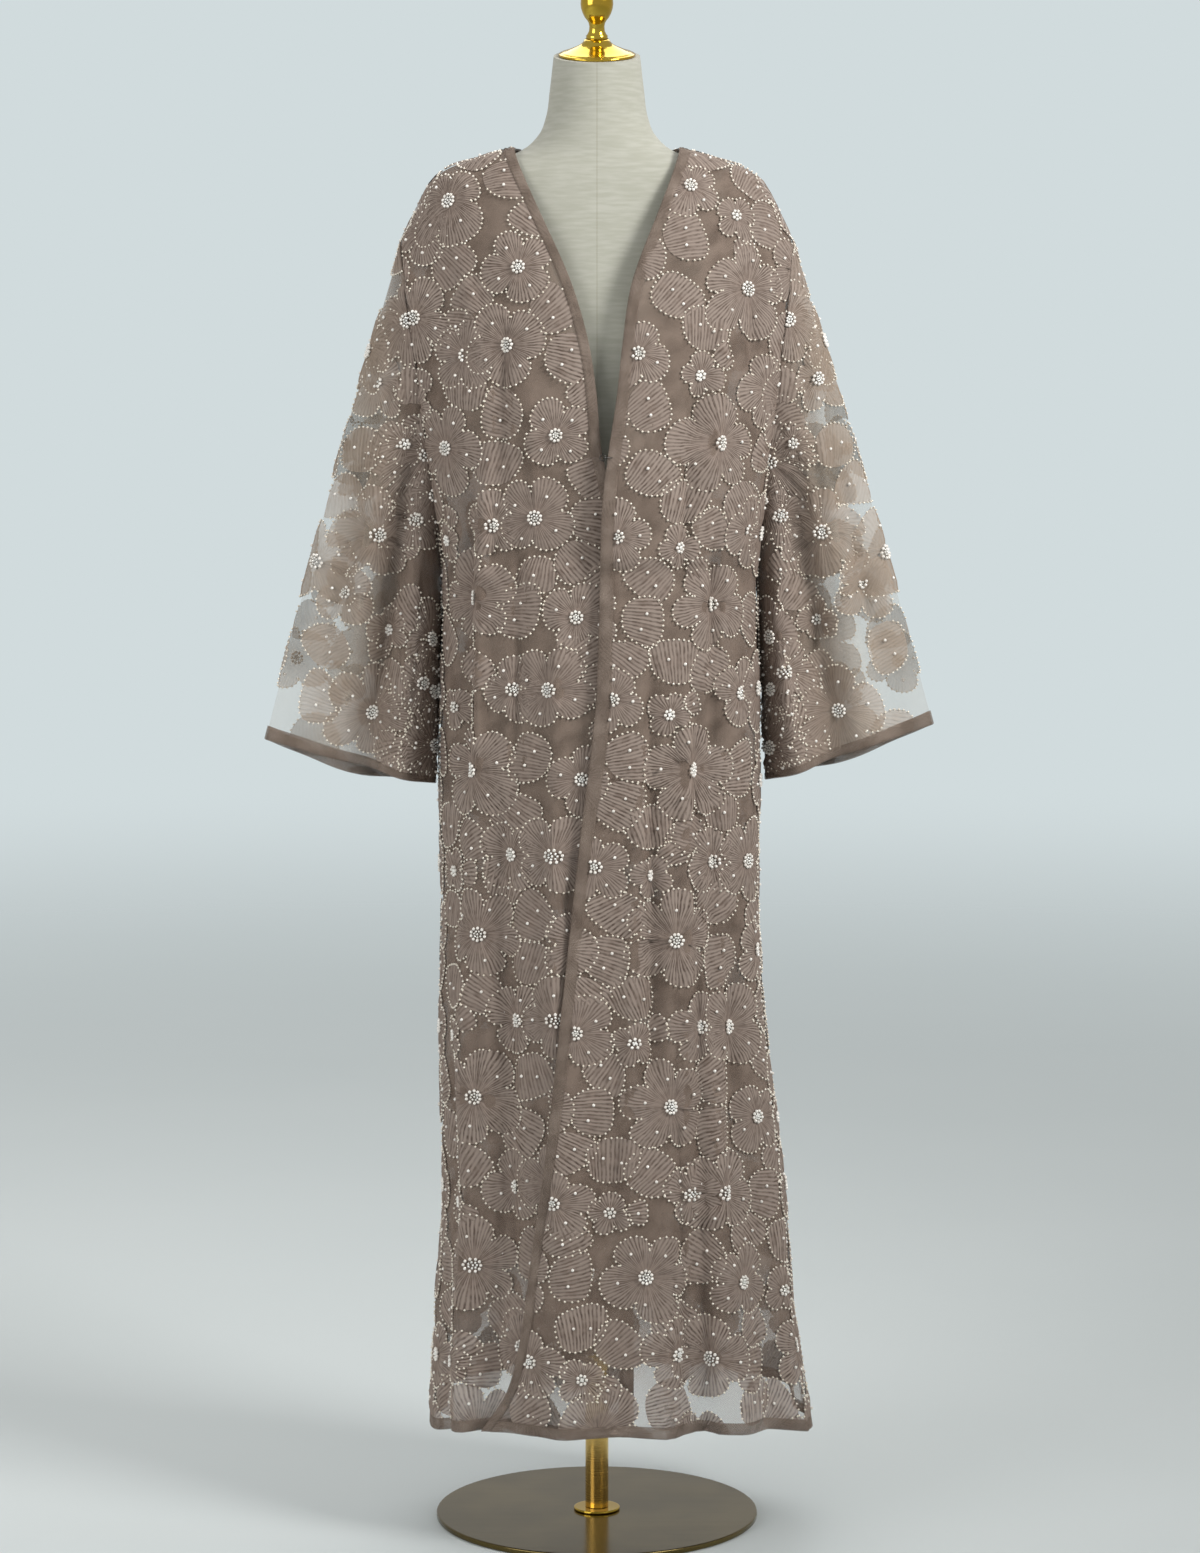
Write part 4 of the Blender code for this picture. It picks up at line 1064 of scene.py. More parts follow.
def motif_centres(panel, layout, across_from):
    """Fractional row by the mean length up, and fractional column by the length across."""
    flat = panel["flat"]
    rows, columns = panel["grid"].shape[:2]
    up = flat[:, :columns, 1].mean(axis=1)
    row = np.interp(layout[:, 1], up, np.arange(rows))
    across = flat[:, :, 0] - flat[:, across_from, 0][:, None]
    near = np.clip(np.rint(row).astype(int), 0, rows - 1)
    lines = across[near]
    order = np.arange(lines.shape[1], dtype=float)
    col = np.array([np.interp(x, line, order) for x, line in zip(layout[:, 0], lines)])
    past = layout[:, 0] - np.clip(layout[:, 0], lines[:, 0], lines[:, -1])
    edge_step = (lines[:, -1] - lines[:, 0]) / (lines.shape[1] - 1)
    row += np.where(layout[:, 1] > up[-1], (layout[:, 1] - up[-1]) / (up[-1] - up[-2]), 0)
    row -= np.where(layout[:, 1] < 0, -layout[:, 1] / (up[1] - up[0]), 0)
    return row, col + past / edge_step


# %% Carrying every offset to its place
PRESSED = 0.15  # share of its lift that a motif keeps under a turned hem
HEM_REACH = 0.7 * BAND_STEPS  # lines from the edge at which it starts to rise, and over which it rises


class Laid:
    """The flat offsets of many motifs on one panel, carried onto its surface together."""

    def __init__(self, panel, rows, columns, turns):
        self.panel, self.rows, self.columns, self.turns = panel, rows, columns, turns
        self.steps = cloth_steps(panel, rows, columns)

    def carry(self, motif, offsets, lift):
        """Points on the cloth, how clear each is of a hem, and whether it is outside the panel."""
        wide, lean, tall = (part[motif] for part in self.steps)
        cos, sin = np.cos(self.turns[motif]), np.sin(self.turns[motif])
        across = offsets[:, 0] * cos - offsets[:, 1] * sin
        up = offsets[:, 0] * sin + offsets[:, 1] * cos
        up_rows = up / tall
        row = self.rows[motif] + up_rows
        col = self.columns[motif] + (across - up_rows * lean) / wide
        last_row, last_col = self.panel["grid"].shape[0] - 1, self.panel["grid"].shape[1] - 1
        outside = (row < 0) | (row > last_row)
        if not self.panel["around"]:
            outside |= (col < 0) | (col > last_col)
        place, normal = read_surface(self.panel, row, col)
        bare = self.settle(row, col)
        return place + normal * (lift * bare)[:, None], bare, outside

    def settle(self, row, col):
        """1 in the open, falling to a little where the turned hem will lie over the flowers."""
        rows, columns = self.panel["grid"].shape[:2]
        away = {"left": col, "right": columns - 1 - col, "bottom": row, "top": rows - 1 - row}
        part = np.ones(len(row))
        for side in self.panel["free"]:
            part *= PRESSED + (1 - PRESSED) * ease_in(away[side] - HEM_REACH, HEM_REACH)
        return part


print("under a hem a motif keeps", PRESSED, "of its lift")

# %% [markdown]
# The pleated tulle is denser than the net. Its pleats show as fine lines that run out from the middle of
# a flower or along a petal. They are lighter on the ridge, as painted light, and darker in the fold, partly
# because the cloth is denser there and partly as painted shade; the cloth is thinnest on the ridge. The
# pattern coordinates count the pleats, so a sine of them draws the lines at any scale, and a little noise
# keeps them from looking combed.

# %% The pleated tulle
PLEAT_WANDER = 0.8  # how far noise bends the pleats, in pleats
GATHER = 3.0  # fine pleats that run together into one near a flower's middle
# how far gathered pleats are darkened (denser cloth and painted shade), and how far petals on a sleeve's
# clear width are painted lighter, as painted light through them
GATHER_SHADE_AND_DENSITY, MIDDLE_TONE, TINT_TONE, CLEAR_PETAL_PAINTED_LIGHT = 0.55, 0.40, 0.35, 0.58
PETAL_COVER, MIDDLE_COVER, FOLD_COVER = 0.76, 0.18, 0.12
CLEAR_PETAL_LOSS = 0.34  # share of its cover that a petal loses where the net is clear


def pleat_finish():
    """Sine of the pleat count, bent by noise, mixes two tones (painted light on the ridge, and in the fold
    painted shade over denser cloth), opens and closes the cloth and raises it.
    """
    cloth = Finish("pleated_tulle", Roughness=0.7, Sheen_Weight=0.16, Sheen_Roughness=0.45,
                   Sheen_Tint=shade(205, 175, 155), Specular_IOR_Level=0.2)
    flat = cloth.place(pattern=True)
    pleat, outwards = [cloth.add("ShaderNodeSeparateXYZ", {0: flat}, output=k) for k in (0, 1)]
    wander = cloth.noise(cloth.place((60, 60, 60)), 1.0, 3.0)
    count = cloth.math("ADD", pleat, cloth.math("MULTIPLY", wander, PLEAT_WANDER))
    wave = cloth.math("SINE", cloth.math("MULTIPLY", count, 2 * math.pi))
    ridge = cloth.ramp(wave, -0.9, 0.5)
    uneven = cloth.ramp(cloth.noise(cloth.place((140, 140, 140)), 1.0, 2.0), 0.3, 0.7, 0.35, 1.0)
    soft = cloth.math("MULTIPLY", cloth.ramp(outwards, 0.02, 0.35), uneven)
    fold = cloth.math("MULTIPLY", cloth.math("SUBTRACT", 1.0, ridge), soft)
    # painted light and shade: the ridge's tone is painted lighter and the fold's darker, for the denser cloth
    # in the fold and as painted shade
    tone = cloth.mix(fold, shade(166, 151, 141), shade(84, 70, 62))
    gathered = cloth.math("SINE", cloth.math("MULTIPLY", count, 2 * math.pi / GATHER))
    gathered = cloth.ramp(gathered, -0.9, 0.4, 1.0, 0.0)
    starts, ends = cloth.ramp(outwards, 0.06, 0.2), cloth.ramp(outwards, 0.45, 0.8, 1.0, 0.0)
    inner = cloth.math("MULTIPLY", gathered, cloth.math("MULTIPLY", starts, ends))
    inner = cloth.math("MULTIPLY", inner, uneven)
    # painted shade: pleats that gather into deep folds near a flower's middle are darker, for denser cloth
    # and as painted shade
    tone = cloth.mix(cloth.math("MULTIPLY", inner, GATHER_SHADE_AND_DENSITY), tone, shade(92, 77, 68))
    middle = cloth.ramp(outwards, 0.0, 0.75, 1.0, 0.0)
    tone = cloth.mix(cloth.math("MULTIPLY", middle, MIDDLE_TONE), tone, shade(126, 109, 99))
    tone = cloth.mix(cloth.math("MULTIPLY", cloth.number("tint"), TINT_TONE), tone, shade(136, 121, 112))
    clear = cloth.number("clear")
    # painted light: on a sleeve's clear width the petals are lighter and warmer, as painted light that passes
    # through them from the bright surround
    tone = cloth.mix(cloth.math("MULTIPLY", clear, CLEAR_PETAL_PAINTED_LIGHT), tone, shade(190, 171, 150))
    cover = cloth.math("MULTIPLY_ADD", middle, MIDDLE_COVER, PETAL_COVER)
    cover = cloth.math("ADD", cover, cloth.math("MULTIPLY", fold, FOLD_COVER))
    cover = cloth.math("MULTIPLY", cover, cloth.math("MULTIPLY_ADD", clear, -CLEAR_PETAL_LOSS, 1.0))
    raised = cloth.bump(ridge, 0.0006, 0.7)
    cloth.join(cloth.shader, {"Base Color": tone, "Alpha": cover, "Normal": raised})
    return cloth.material


pleat_material = pleat_finish()
print("finish:", pleat_material.name)

# %% [markdown]
# The seed beads, pearls and crystals are all glazed: a light clear coat over a colour that changes a
# little from place to place. So one finish makes all three, and only its colours and gloss differ.

# %% The beads' finishes


def bead_finish(name, colour, dark, **values):
    """Soft noise mixes the bead's two tones under the shader's own clear coat."""
    bead = Finish(name, **values)
    cloud = bead.noise(bead.place(), 60.0, 2.0)
    tone = bead.mix(bead.ramp(cloud, 0.3, 0.7), shade(*dark), shade(*colour))
    bead.join(bead.shader, {"Base Color": tone})
    return bead.material


seed_material = bead_finish(
    "seed_bead_glass", (246, 239, 226), (228, 218, 202), Roughness=0.25, Coat_Weight=0.6)
pearl_material = bead_finish(
    "pearl_lustre", (246, 242, 236), (226, 220, 212), Roughness=0.18, Coat_Weight=0.8, Sheen_Weight=0.2)
crystal_material = bead_finish(
    "silver_crystal_foil", (252, 251, 248), (226, 223, 216), Roughness=0.16, Metallic=0.10, Coat_Weight=0.5)
print("finishes:", ", ".join(item.name for item in (seed_material, pearl_material, crystal_material)))

# %% [markdown]
# Thousands of beads are one mesh. A bead is an eight-sided gem that smooth shading rounds off, a pearl is
# a twenty-sided ball, and a crystal is a flat-shaded gem turned at random so that it glitters.

# %% Small shapes and how they are scattered
GEM = np.array([(1, 0, 0), (-1, 0, 0), (0, 1, 0), (0, -1, 0), (0, 0, 1), (0, 0, -1)], float)
GEM_FACES = np.array([(0, 2, 4), (2, 1, 4), (1, 3, 4), (3, 0, 4), (2, 0, 5), (1, 2, 5), (3, 1, 5), (0, 3, 5)])


def ball():
    """An icosahedron: two poles and two rings of five at the height where all its edges are equal."""
    i, j = np.arange(5), (np.arange(5) + 1) % 5
    fifth, radius, height = 2 * math.pi / 5, 2 / math.sqrt(5), 1 / math.sqrt(5)
    rings = [
        np.stack([radius * np.cos(turn), radius * np.sin(turn), np.full(5, level)], axis=-1)
        for turn, level in ((i * fifth, height), (i * fifth + fifth / 2, -height))
    ]
    top, bottom = np.full(5, 10), np.full(5, 11)
    corners = ((i, j, top), (i, i + 5, j), (j, i + 5, j + 5), (i + 5, bottom, j + 5))
    faces = np.concatenate([np.stack(corner, axis=-1) for corner in corners])
    return np.concatenate([*rings, [[0, 0, 1], [0, 0, -1]]]), faces


def random_turns(count, random):
    """count rotation matrices from random unit quaternions."""
    q = random.normal(size=(count, 4))
    w, x, y, z = (q / np.linalg.norm(q, axis=1, keepdims=True)).T
    return np.array([
        [1 - 2 * (y * y + z * z), 2 * (x * y - z * w), 2 * (x * z + y * w)],
        [2 * (x * y + z * w), 1 - 2 * (x * x + z * z), 2 * (y * z - x * w)],
        [2 * (x * z - y * w), 2 * (y * z + x * w), 1 - 2 * (x * x + y * y)],
    ]).transpose(2, 0, 1)


def scattered(name, shape, faces, places, size, material, turns=None):
    """One mesh of a small shape at every place."""
    shape = np.broadcast_to(shape, (len(places),) + shape.shape)
    if turns is not None:
        shape = shape @ turns
    points = places[:, None] + np.reshape(size, (-1, 1, 1)) * shape
    every = faces[None] + (np.arange(len(places)) * shape.shape[1])[:, None, None]
    return make_piece(name, points.reshape(-1, 3), every.reshape(-1, 3), material, smooth=turns is None)


print("faces of a gem and of a ball:", len(GEM_FACES), len(ball()[1]))

# %% [markdown]
# A panel's motifs are gathered into four lists, of tulle, beads, pearls and crystals, because each list
# becomes one mesh. Motifs overlap: the one with the higher rank is sewn on last and lies on top. So a
# bead is left off where it would lie under a motif of a higher rank.

# %% What one panel's motifs are made of
UNDER_HEM = 0.5  # what lies further under a hem than this is left off
COVERED = 1.07  # a bead this near to the outline of a motif above, or nearer, is left off


def motif_parts(layout, wobbles):
    """The tulle, beads, pearls and crystals of every motif, each part with its motif's number."""
    parts = {"sheets": [], "beads": [], "pearls": [], "crystals": []}
    for k, (_, _, kind, size, _, _) in enumerate(layout):
        if kind < SINGLE:
            _, lobes, ring_count, crystal_count, _ = FLOWERS[KINDS[int(kind)]]
            outline, ring, lobe, inner = flower_beads(size, lobes, wobbles[k], ring_count, crystal_count)
            parts["sheets"].append((k, *flower_sheet(size, lobes, wobbles[k])))
            parts["pearls"] += [(k, ring, RING_PEARL), (k, lobe, PEARL_SIZE)]
            parts["crystals"].append((k, inner, CRYSTAL_SIZE))
        else:
            outline, spots = petal_beads(size, wobbles[k])
            parts["sheets"].append((k, *petal_sheet(size, wobbles[k])))
            parts["pearls"].append((k, spots, PEARL_SIZE))
        parts["beads"].append((k, outline, BEAD_SIZE))
    return parts


def hidden_under(spots, owner, layout, wobbles):
    """Which offsets lie under a motif of a higher rank: nearer to its middle than its outline is there."""
    turn, rank = layout[owner, 4], layout[owner, 5]
    cos, sin = np.cos(turn), np.sin(turn)
    turned_x = spots[:, 0] * cos - spots[:, 1] * sin
    turned_y = spots[:, 0] * sin + spots[:, 1] * cos
    flat = layout[owner, :2] + np.stack([turned_x, turned_y], axis=-1)
    hidden = np.zeros(len(spots), bool)
    for (x, y, kind, size, turn_above, rank_above), wobble in zip(layout, wobbles):
        across, up = (flat - [x, y]).T
        angle = np.arctan2(up, across) - turn_above
        lobes = FLOWERS[KINDS[int(kind)]][1] if kind < SINGLE else 0
        edge = lobed_radius(angle, size, lobes, wobble) if lobes else petal_radius(angle, size)
        hidden |= (rank < rank_above) & (np.hypot(across, up) < edge * COVERED)
    return hidden


print("kinds of flower:", ", ".join(FLOWERS))

# %% [markdown]
# Every panel now gets its flowers, beads, pearls and crystals. The layout starts at the front edge of a
# front, at the middle of the back and at the outer fold of a sleeve, and only a sleeve's is slanted.

# %% Flowers on every panel
# panel: column that the layout starts from, where the sheet's left side is from there, width, slant,
# widest bare place, seed, turned sides
LAYOUTS = {
    "front_left": (0, -0.02, 0.52, 0.00, 0.0185, 11, ("left", "bottom")),
    "front_right": (-1, -0.34, 0.34, 0.00, 0.0185, 12, ("right", "bottom")),
    "back": (BACK_STEPS // 2, -0.34, 0.68, 0.00, 0.0185, 13, ("bottom",)),
    "sleeve_left": (YOKE_STEPS, -0.27, 0.54, 0.02, 0.0230, 14, ("top",)),
    "sleeve_right": (YOKE_STEPS, -0.27, 0.54, -0.02, 0.0230, 15, ("top",)),
}
BEAD_LIFT, PEARL_LIFT = 0.0016, 0.0026
RANK_LIFT = 0.35  # a motif's puff grows by this share for each rank
SMALL_SHAPES = {
    # lift, slot, shape, faces, finish, whether every one has its own turn
    "beads": (BEAD_LIFT, "pearl_bead", GEM, GEM_FACES, seed_material, False),
    "pearls": (PEARL_LIFT, "pearl_bead", *ball(), pearl_material, False),
    "crystals": (PEARL_LIFT, "silver_crystal", GEM, GEM_FACES, crystal_material, True),
}


def tulle_piece(name, laid, layout, sheets, tints):
    """All flowers and petals of a panel as one mesh, without the faces that fall outside it."""
    counts = np.array([len(sheet[1]) for sheet in sheets])
    starts = np.concatenate([[0], np.cumsum(counts)[:-1]])
    owner = np.repeat(np.arange(len(sheets)), counts)
    offsets = np.concatenate([sheet[1] for sheet in sheets])
    quads = np.concatenate([sheet[3] + start for sheet, start in zip(sheets, starts)])
    fans = np.concatenate([sheet[5] + start for sheet, start in zip(sheets, starts)])
    quad_flat = np.concatenate([sheet[2] for sheet in sheets]).reshape(-1, 4, 2)
    fan_flat = np.concatenate([sheet[4] for sheet in sheets]).reshape(-1, 3, 2)
    points, _, outside = laid.carry(owner, offsets, offsets[:, 2] * (1 + RANK_LIFT * layout[owner, 5]))
    keep_quads, keep_fans = ~outside[quads].all(axis=1), ~outside[fans].any(axis=1)
    pattern = np.concatenate([flat.reshape(-1, 2) for flat in (quad_flat[keep_quads], fan_flat[keep_fans])])
    corners = np.concatenate([quads[keep_quads].ravel(), fans[keep_fans].ravel()])
    used, renumbered = np.unique(corners, return_inverse=True)
    split = keep_quads.sum() * 4
    faces = [renumbered[:split].reshape(-1, 4), renumbered[split:].reshape(-1, 3)]
    numbers = {"tint": tints[owner[used]], "clear": clear_share(points[used], laid.panel["around"])}
    return make_piece(name + "_petals", points[used], faces, pleat_material, pattern, numbers)


def small_piece(name, suffix, laid, layout, groups, wobbles, random):
    """All beads, pearls or crystals of a panel as one mesh."""
    lift, _, shape, faces, material, turned_each = SMALL_SHAPES[suffix]
    owner = np.concatenate([np.full(len(spots), k) for k, spots, _ in groups])
    spots = np.concatenate([spots for _, spots, _ in groups])
    size = np.concatenate([np.full(len(spots), radius) for _, spots, radius in groups])
    places, bare, outside = laid.carry(owner, spots, lift * (1 + RANK_LIFT * layout[owner, 5] / 2))
    kept = ~(outside | hidden_under(spots, owner, layout, wobbles)) & (bare > UNDER_HEM)
    turns = random_turns(kept.sum(), random) if turned_each else None
    return scattered(f"{name}_{suffix}", shape, faces, places[kept], size[kept], material, turns)


for name, (across_from, left, width, slant, bare, seed, free) in LAYOUTS.items():
    panel = panels[name]
    panel["free"] = free
    layout = flower_layout(width, float(panel["flat"][-1, :, 1].mean()), slant, bare, seed)
    layout[:, 0] += left
    random = np.random.default_rng(seed + 100)
    wobbles = random.uniform(0, 2 * math.pi, len(layout))
    tints = random.uniform(0, 1, len(layout))
    laid = Laid(panel, *motif_centres(panel, layout, across_from), layout[:, 4])
    parts = motif_parts(layout, wobbles)
    item = tulle_piece(name, laid, layout, parts["sheets"], tints)
    pieces[name + "_petals"] = finish_piece(item, "pleated_petal")
    for suffix, (_, slot_name, *_) in SMALL_SHAPES.items():
        item = small_piece(name, suffix, laid, layout, parts[suffix], wobbles, random)
        pieces[f"{name}_{suffix}"] = finish_piece(item, slot_name)
    print(f"{name}: {len(layout)} motifs")

# %% [markdown]
# The dress form is a torso and neck covered in linen. Its rings are ellipses against height, and towards
# the top they lean forward, so that the neck is cut square to its own slope. Underneath it closes on the
# pole.

# %% The dress form
# height, half width, depth in front, depth behind
FORM = (
    (0.790, 0.128, 0.084, 0.088), (0.794, 0.138, 0.092, 0.096), (0.806, 0.146, 0.100, 0.104),
    (0.850, 0.153, 0.107, 0.111), (0.920, 0.154, 0.108, 0.112), (1.000, 0.140, 0.098, 0.099),
    (1.100, 0.118, 0.088, 0.081), (1.180, 0.128, 0.101, 0.083), (1.270, 0.146, 0.117, 0.091),
    (1.340, 0.153, 0.112, 0.096), (1.400, 0.162, 0.102, 0.097), (1.450, 0.170, 0.092, 0.092),
    (1.480, 0.171, 0.084, 0.080), (1.496, 0.166, 0.079, 0.071), (1.507, 0.153, 0.075, 0.066),
    (1.516, 0.134, 0.071, 0.063), (1.525, 0.106, 0.067, 0.062), (1.535, 0.083, 0.064, 0.062),
    (1.550, 0.0660, 0.0600, 0.0610), (1.572, 0.0565, 0.0555, 0.0555), (1.600, 0.0525, 0.0525, 0.0525),
    (1.639, 0.0480, 0.0480, 0.0480),
)
FORM_STEPS, FORM_ROWS = 96, 130
NECK_TILT, NECK_TILT_FROM = math.radians(13.5), 1.550


def closed_stack(name, rings, material):
    """Rings of points from bottom to top, with both ends closed by a fan to their middle."""
    rows, columns = rings.shape[:2]
    quads, _ = grid_faces(rows, columns, around=True)
    ends = np.array([rings[0].mean(axis=0), rings[-1].mean(axis=0)])
    i = np.arange(columns)
    low = np.stack([np.full(columns, rows * columns), (i + 1) % columns, i], axis=-1)
    high = np.stack([np.full(columns, rows * columns + 1), (rows - 1) * columns + i,
                     (rows - 1) * columns + (i + 1) % columns], axis=-1)
    points = np.concatenate([rings.reshape(-1, 3), ends])
    return make_piece(name, points, [quads, low, high], material)


def form_rings():
    """Squared rows of the table read evenly: x by sine, y by cosine, and a lean that grows up the neck."""
    table = column(FORM, 0)
    spread = np.concatenate([[0], np.cumsum(np.hypot(np.diff(table), np.diff(column(FORM, 1))))])
    heights = np.interp(np.linspace(0, spread[-1], FORM_ROWS), spread, table)[:, None]
    half_width, front, back = (eased(heights, table, column(FORM, k)) for k in range(1, 4))
    turn = np.linspace(0, 2 * math.pi, FORM_STEPS, endpoint=False)
    lean = np.clip((heights - NECK_TILT_FROM) / (FORM[-1][0] - NECK_TILT_FROM), 0, 1)
    y = -np.where(np.cos(turn) > 0, front, back) * np.cos(turn)
    x, z = half_width * np.sin(turn), heights + y * np.tan(NECK_TILT * lean)
    return np.stack([x, y, np.broadcast_to(z, x.shape)], axis=-1)


print("the form is", FORM[-1][0] - FORM[0][0], "m tall")

# %% Its linen cover
THREADS = (("X", 300.0), ("Z", 270.0))  # direction and fineness of each set
FORM_SHARP = math.radians(50)  # edges past this angle stay crisp


def linen_finish():
    """Two crossed sets of threads with slubs, and a faint sewn line down the middle."""
    linen = Finish("linen_cover", Roughness=0.88, Sheen_Weight=0.15, Specular_IOR_Level=0.2)
    place = linen.place()
    waves = []
    for axis, scale in THREADS:
        sizes = {"Vector": place, "Scale": scale, "Distortion": 1.2, "Detail": 2.0, "Detail Scale": 0.4}
        waves.append(linen.add("ShaderNodeTexWave", sizes, output=1, bands_direction=axis))
    weave = linen.math("MULTIPLY", waves[0], waves[1])
    slub = linen.noise(linen.place((40, 40, 300)), 1.0, 4.0)
    tone = linen.mix(linen.ramp(slub, 0.3, 0.75), shade(168, 168, 156), shade(180, 180, 170))
    tone = linen.mix(linen.math("MULTIPLY", weave, 0.22), tone, shade(144, 142, 127))
    across = linen.add("ShaderNodeSeparateXYZ", {0: place}, output=0)
    line = linen.ramp(linen.math("ABSOLUTE", across), 0.0004, 0.0012, 0.30, 0.0)
    linen.join(linen.shader, {"Base Color": linen.mix(line, tone, shade(140, 136, 118))})
    linen.join(linen.shader, {"Normal": linen.bump(linen.math("SUBTRACT", weave, line), 0.0004, 0.5)})
    return linen.material


form = closed_stack("dress_form_linen", form_rings(), linen_finish())
form.data.set_sharp_from_angle(angle=FORM_SHARP)
finish_piece(form, "linen", "dress_form")
print("dress form:", len(form.data.vertices), "points")

# %% [markdown]
# The stand is turned metal: a heavy round plate in brushed bronze, and a brass pole, flange, neck cap and
# finial. A turned piece is a profile of radius against height carried round an axis. The profile's sharp
# corners get two points close together, so that smooth shading keeps them crisp.

# %% Turned metal
TURN_STEPS = 96
CAP_PROFILE = (
    (0.0428, 0.0003), (0.0428, 0.0022), (0.0420, 0.0030), (0.0404, 0.0032), (0.0396, 0.0042),
    (0.0372, 0.0050), (0.0330, 0.0062), (0.0290, 0.0080), (0.0240, 0.0100), (0.0190, 0.0125),
    (0.0155, 0.0155), (0.0135, 0.0190),
)
FINIAL_PROFILE = (
    (0.0125, 0.0193), (0.0118, 0.0215), (0.0122, 0.0225), (0.0105, 0.0245), (0.0088, 0.0280),
    (0.0084, 0.0330), (0.0092, 0.0370), (0.0110, 0.0400), (0.0135, 0.0430), (0.0160, 0.0480),
    (0.0176, 0.0530), (0.0182, 0.0580), (0.0178, 0.0630), (0.0165, 0.0680), (0.0142, 0.0722),
    (0.0115, 0.0750), (0.0080, 0.0768), (0.0060, 0.0780), (0.0058, 0.0800), (0.0062, 0.0820),
    (0.0054, 0.0848), (0.0035, 0.0870), (0.0010, 0.0876),
)


def turned(name, profile, material, tilt=0.0, height=0.0):
    """Radius against height carried round the axis, then leaned about X and raised."""
    radius, level = (column(profile, k)[:, None] for k in (0, 1))
    turn = np.linspace(0, 2 * math.pi, TURN_STEPS, endpoint=False)
    x, y, z = radius * np.cos(turn), radius * np.sin(turn), level + 0 * turn
    back, up = y * math.cos(tilt) - z * math.sin(tilt), y * math.sin(tilt) + z * math.cos(tilt)
    return closed_stack(name, np.stack([x, back, up + height], axis=-1), material)


def rounded(radius, low, high, edge):
    """A disc's profile: its two edges are quarter circles of radius edge."""
    turn = np.linspace(0, math.pi / 2, 5)
    bottom = np.stack([radius - edge + edge * np.sin(turn), low + edge - edge * np.cos(turn)], axis=-1)
    top = np.stack([radius - edge + edge * np.cos(turn), high - edge + edge * np.sin(turn)], axis=-1)
    inner = radius - 2 * edge
    return np.concatenate([[[inner, low]], bottom, top, [[inner, high]]])


print("profiles:", len(CAP_PROFILE), "points for the cap and", len(FINIAL_PROFILE), "for the finial")

# %% Metal finishes and the stand


def metal_finish(name, light, dark, roughness, grain, ring_scale, streak, **values):
    """Brushed metal: fine noise, stretched along the brushing, changes its gloss and height a little."""
    metal = Finish(name, Metallic=1.0, **values)
    brush = metal.noise(metal.place(grain), ring_scale, 5.0)
    wear = metal.noise(metal.place(), 9.0, 4.0)
    tone = metal.mix(metal.ramp(wear, 0.35, 0.7), shade(*dark), shade(*light))
    metal.join(metal.shader, {"Base Color": tone, "Normal": metal.bump(brush, 0.0002, streak)})
    metal.join(metal.shader, {"Roughness": metal.ramp(brush, 0.3, 0.7, roughness * 0.8, roughness * 1.25)})
    return metal.material


brass = metal_finish("polished_brass", (212, 182, 76), (190, 156, 54), 0.13, (1, 1, 1), 160.0, 0.04)
pole_brass = metal_finish("satin_brass", (238, 206, 132), (214, 180, 106), 0.22, (1, 1, 60), 30.0, 0.08)
bronze = metal_finish("brushed_bronze", (112, 98, 62), (94, 82, 50), 0.18, (4, 260, 4), 1.0, 0.10)

DISCS = (
    # name, radius of its edges, finish, slot
    ("base_plate", 0.0015, bronze, "brushed_bronze"),
    ("pole_flange", 0.0010, brass, "polished_brass"),
    ("pole", 0.0004, pole_brass, "polished_brass"),
)
for name, edge, material, slot_name in DISCS:
    low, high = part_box(name)
    profile = rounded((high[0] - low[0]) / 2, low[2], high[2], edge)
    finish_piece(turned(name + "_metal", profile, material), slot_name, name)
for name, profile in (("neck_cap", CAP_PROFILE), ("finial", FINIAL_PROFILE)):
    finish_piece(turned(name + "_brass", profile, brass, NECK_TILT, FORM[-1][0]), "polished_brass", name)
print("stand: 5 turned pieces")

# %% [markdown]
# The closure is a wire hook on the over front that catches a wire eye on the under front. Both are a
# round wire: a small circle carried along a path, kept square to it.

# %% Hook and eye
WIRE_SIDES = 10


def wire(name, path, radius, material, closed=False):
    """A circle across the path at each of its points. An open wire's ends are closed by fans."""
    ahead = np.roll(path, -1, axis=0) - np.roll(path, 1, axis=0) if closed else np.gradient(path, axis=0)
    ahead /= np.linalg.norm(ahead, axis=-1, keepdims=True)
    lies_level = np.ptp(path[:, 2]) < radius
    aside = np.broadcast_to([0.0, 0.0, 1.0] if lies_level else [0.0, 1.0, 0.0], path.shape)
    other = np.cross(ahead, aside)
    turn = (np.arange(WIRE_SIDES) * 2 * math.pi / WIRE_SIDES)[:, None]
    rings = path[:, None] + radius * (np.cos(turn) * aside[:, None] + np.sin(turn) * other[:, None])
    if not closed:
        return closed_stack(name, rings, material)
    rows = len(path)
    quads = grid_faces(rows + 1, WIRE_SIDES, around=True)[0] % (rows * WIRE_SIDES)
    return make_piece(name, rings.reshape(-1, 3), quads, material)


dark_metal = metal_finish("dark_hook_metal", (92, 90, 88), (64, 62, 60), 0.35, (1, 1, 1), 400.0, 0.1)
print("wire with", WIRE_SIDES, "sides in", dark_metal.name)

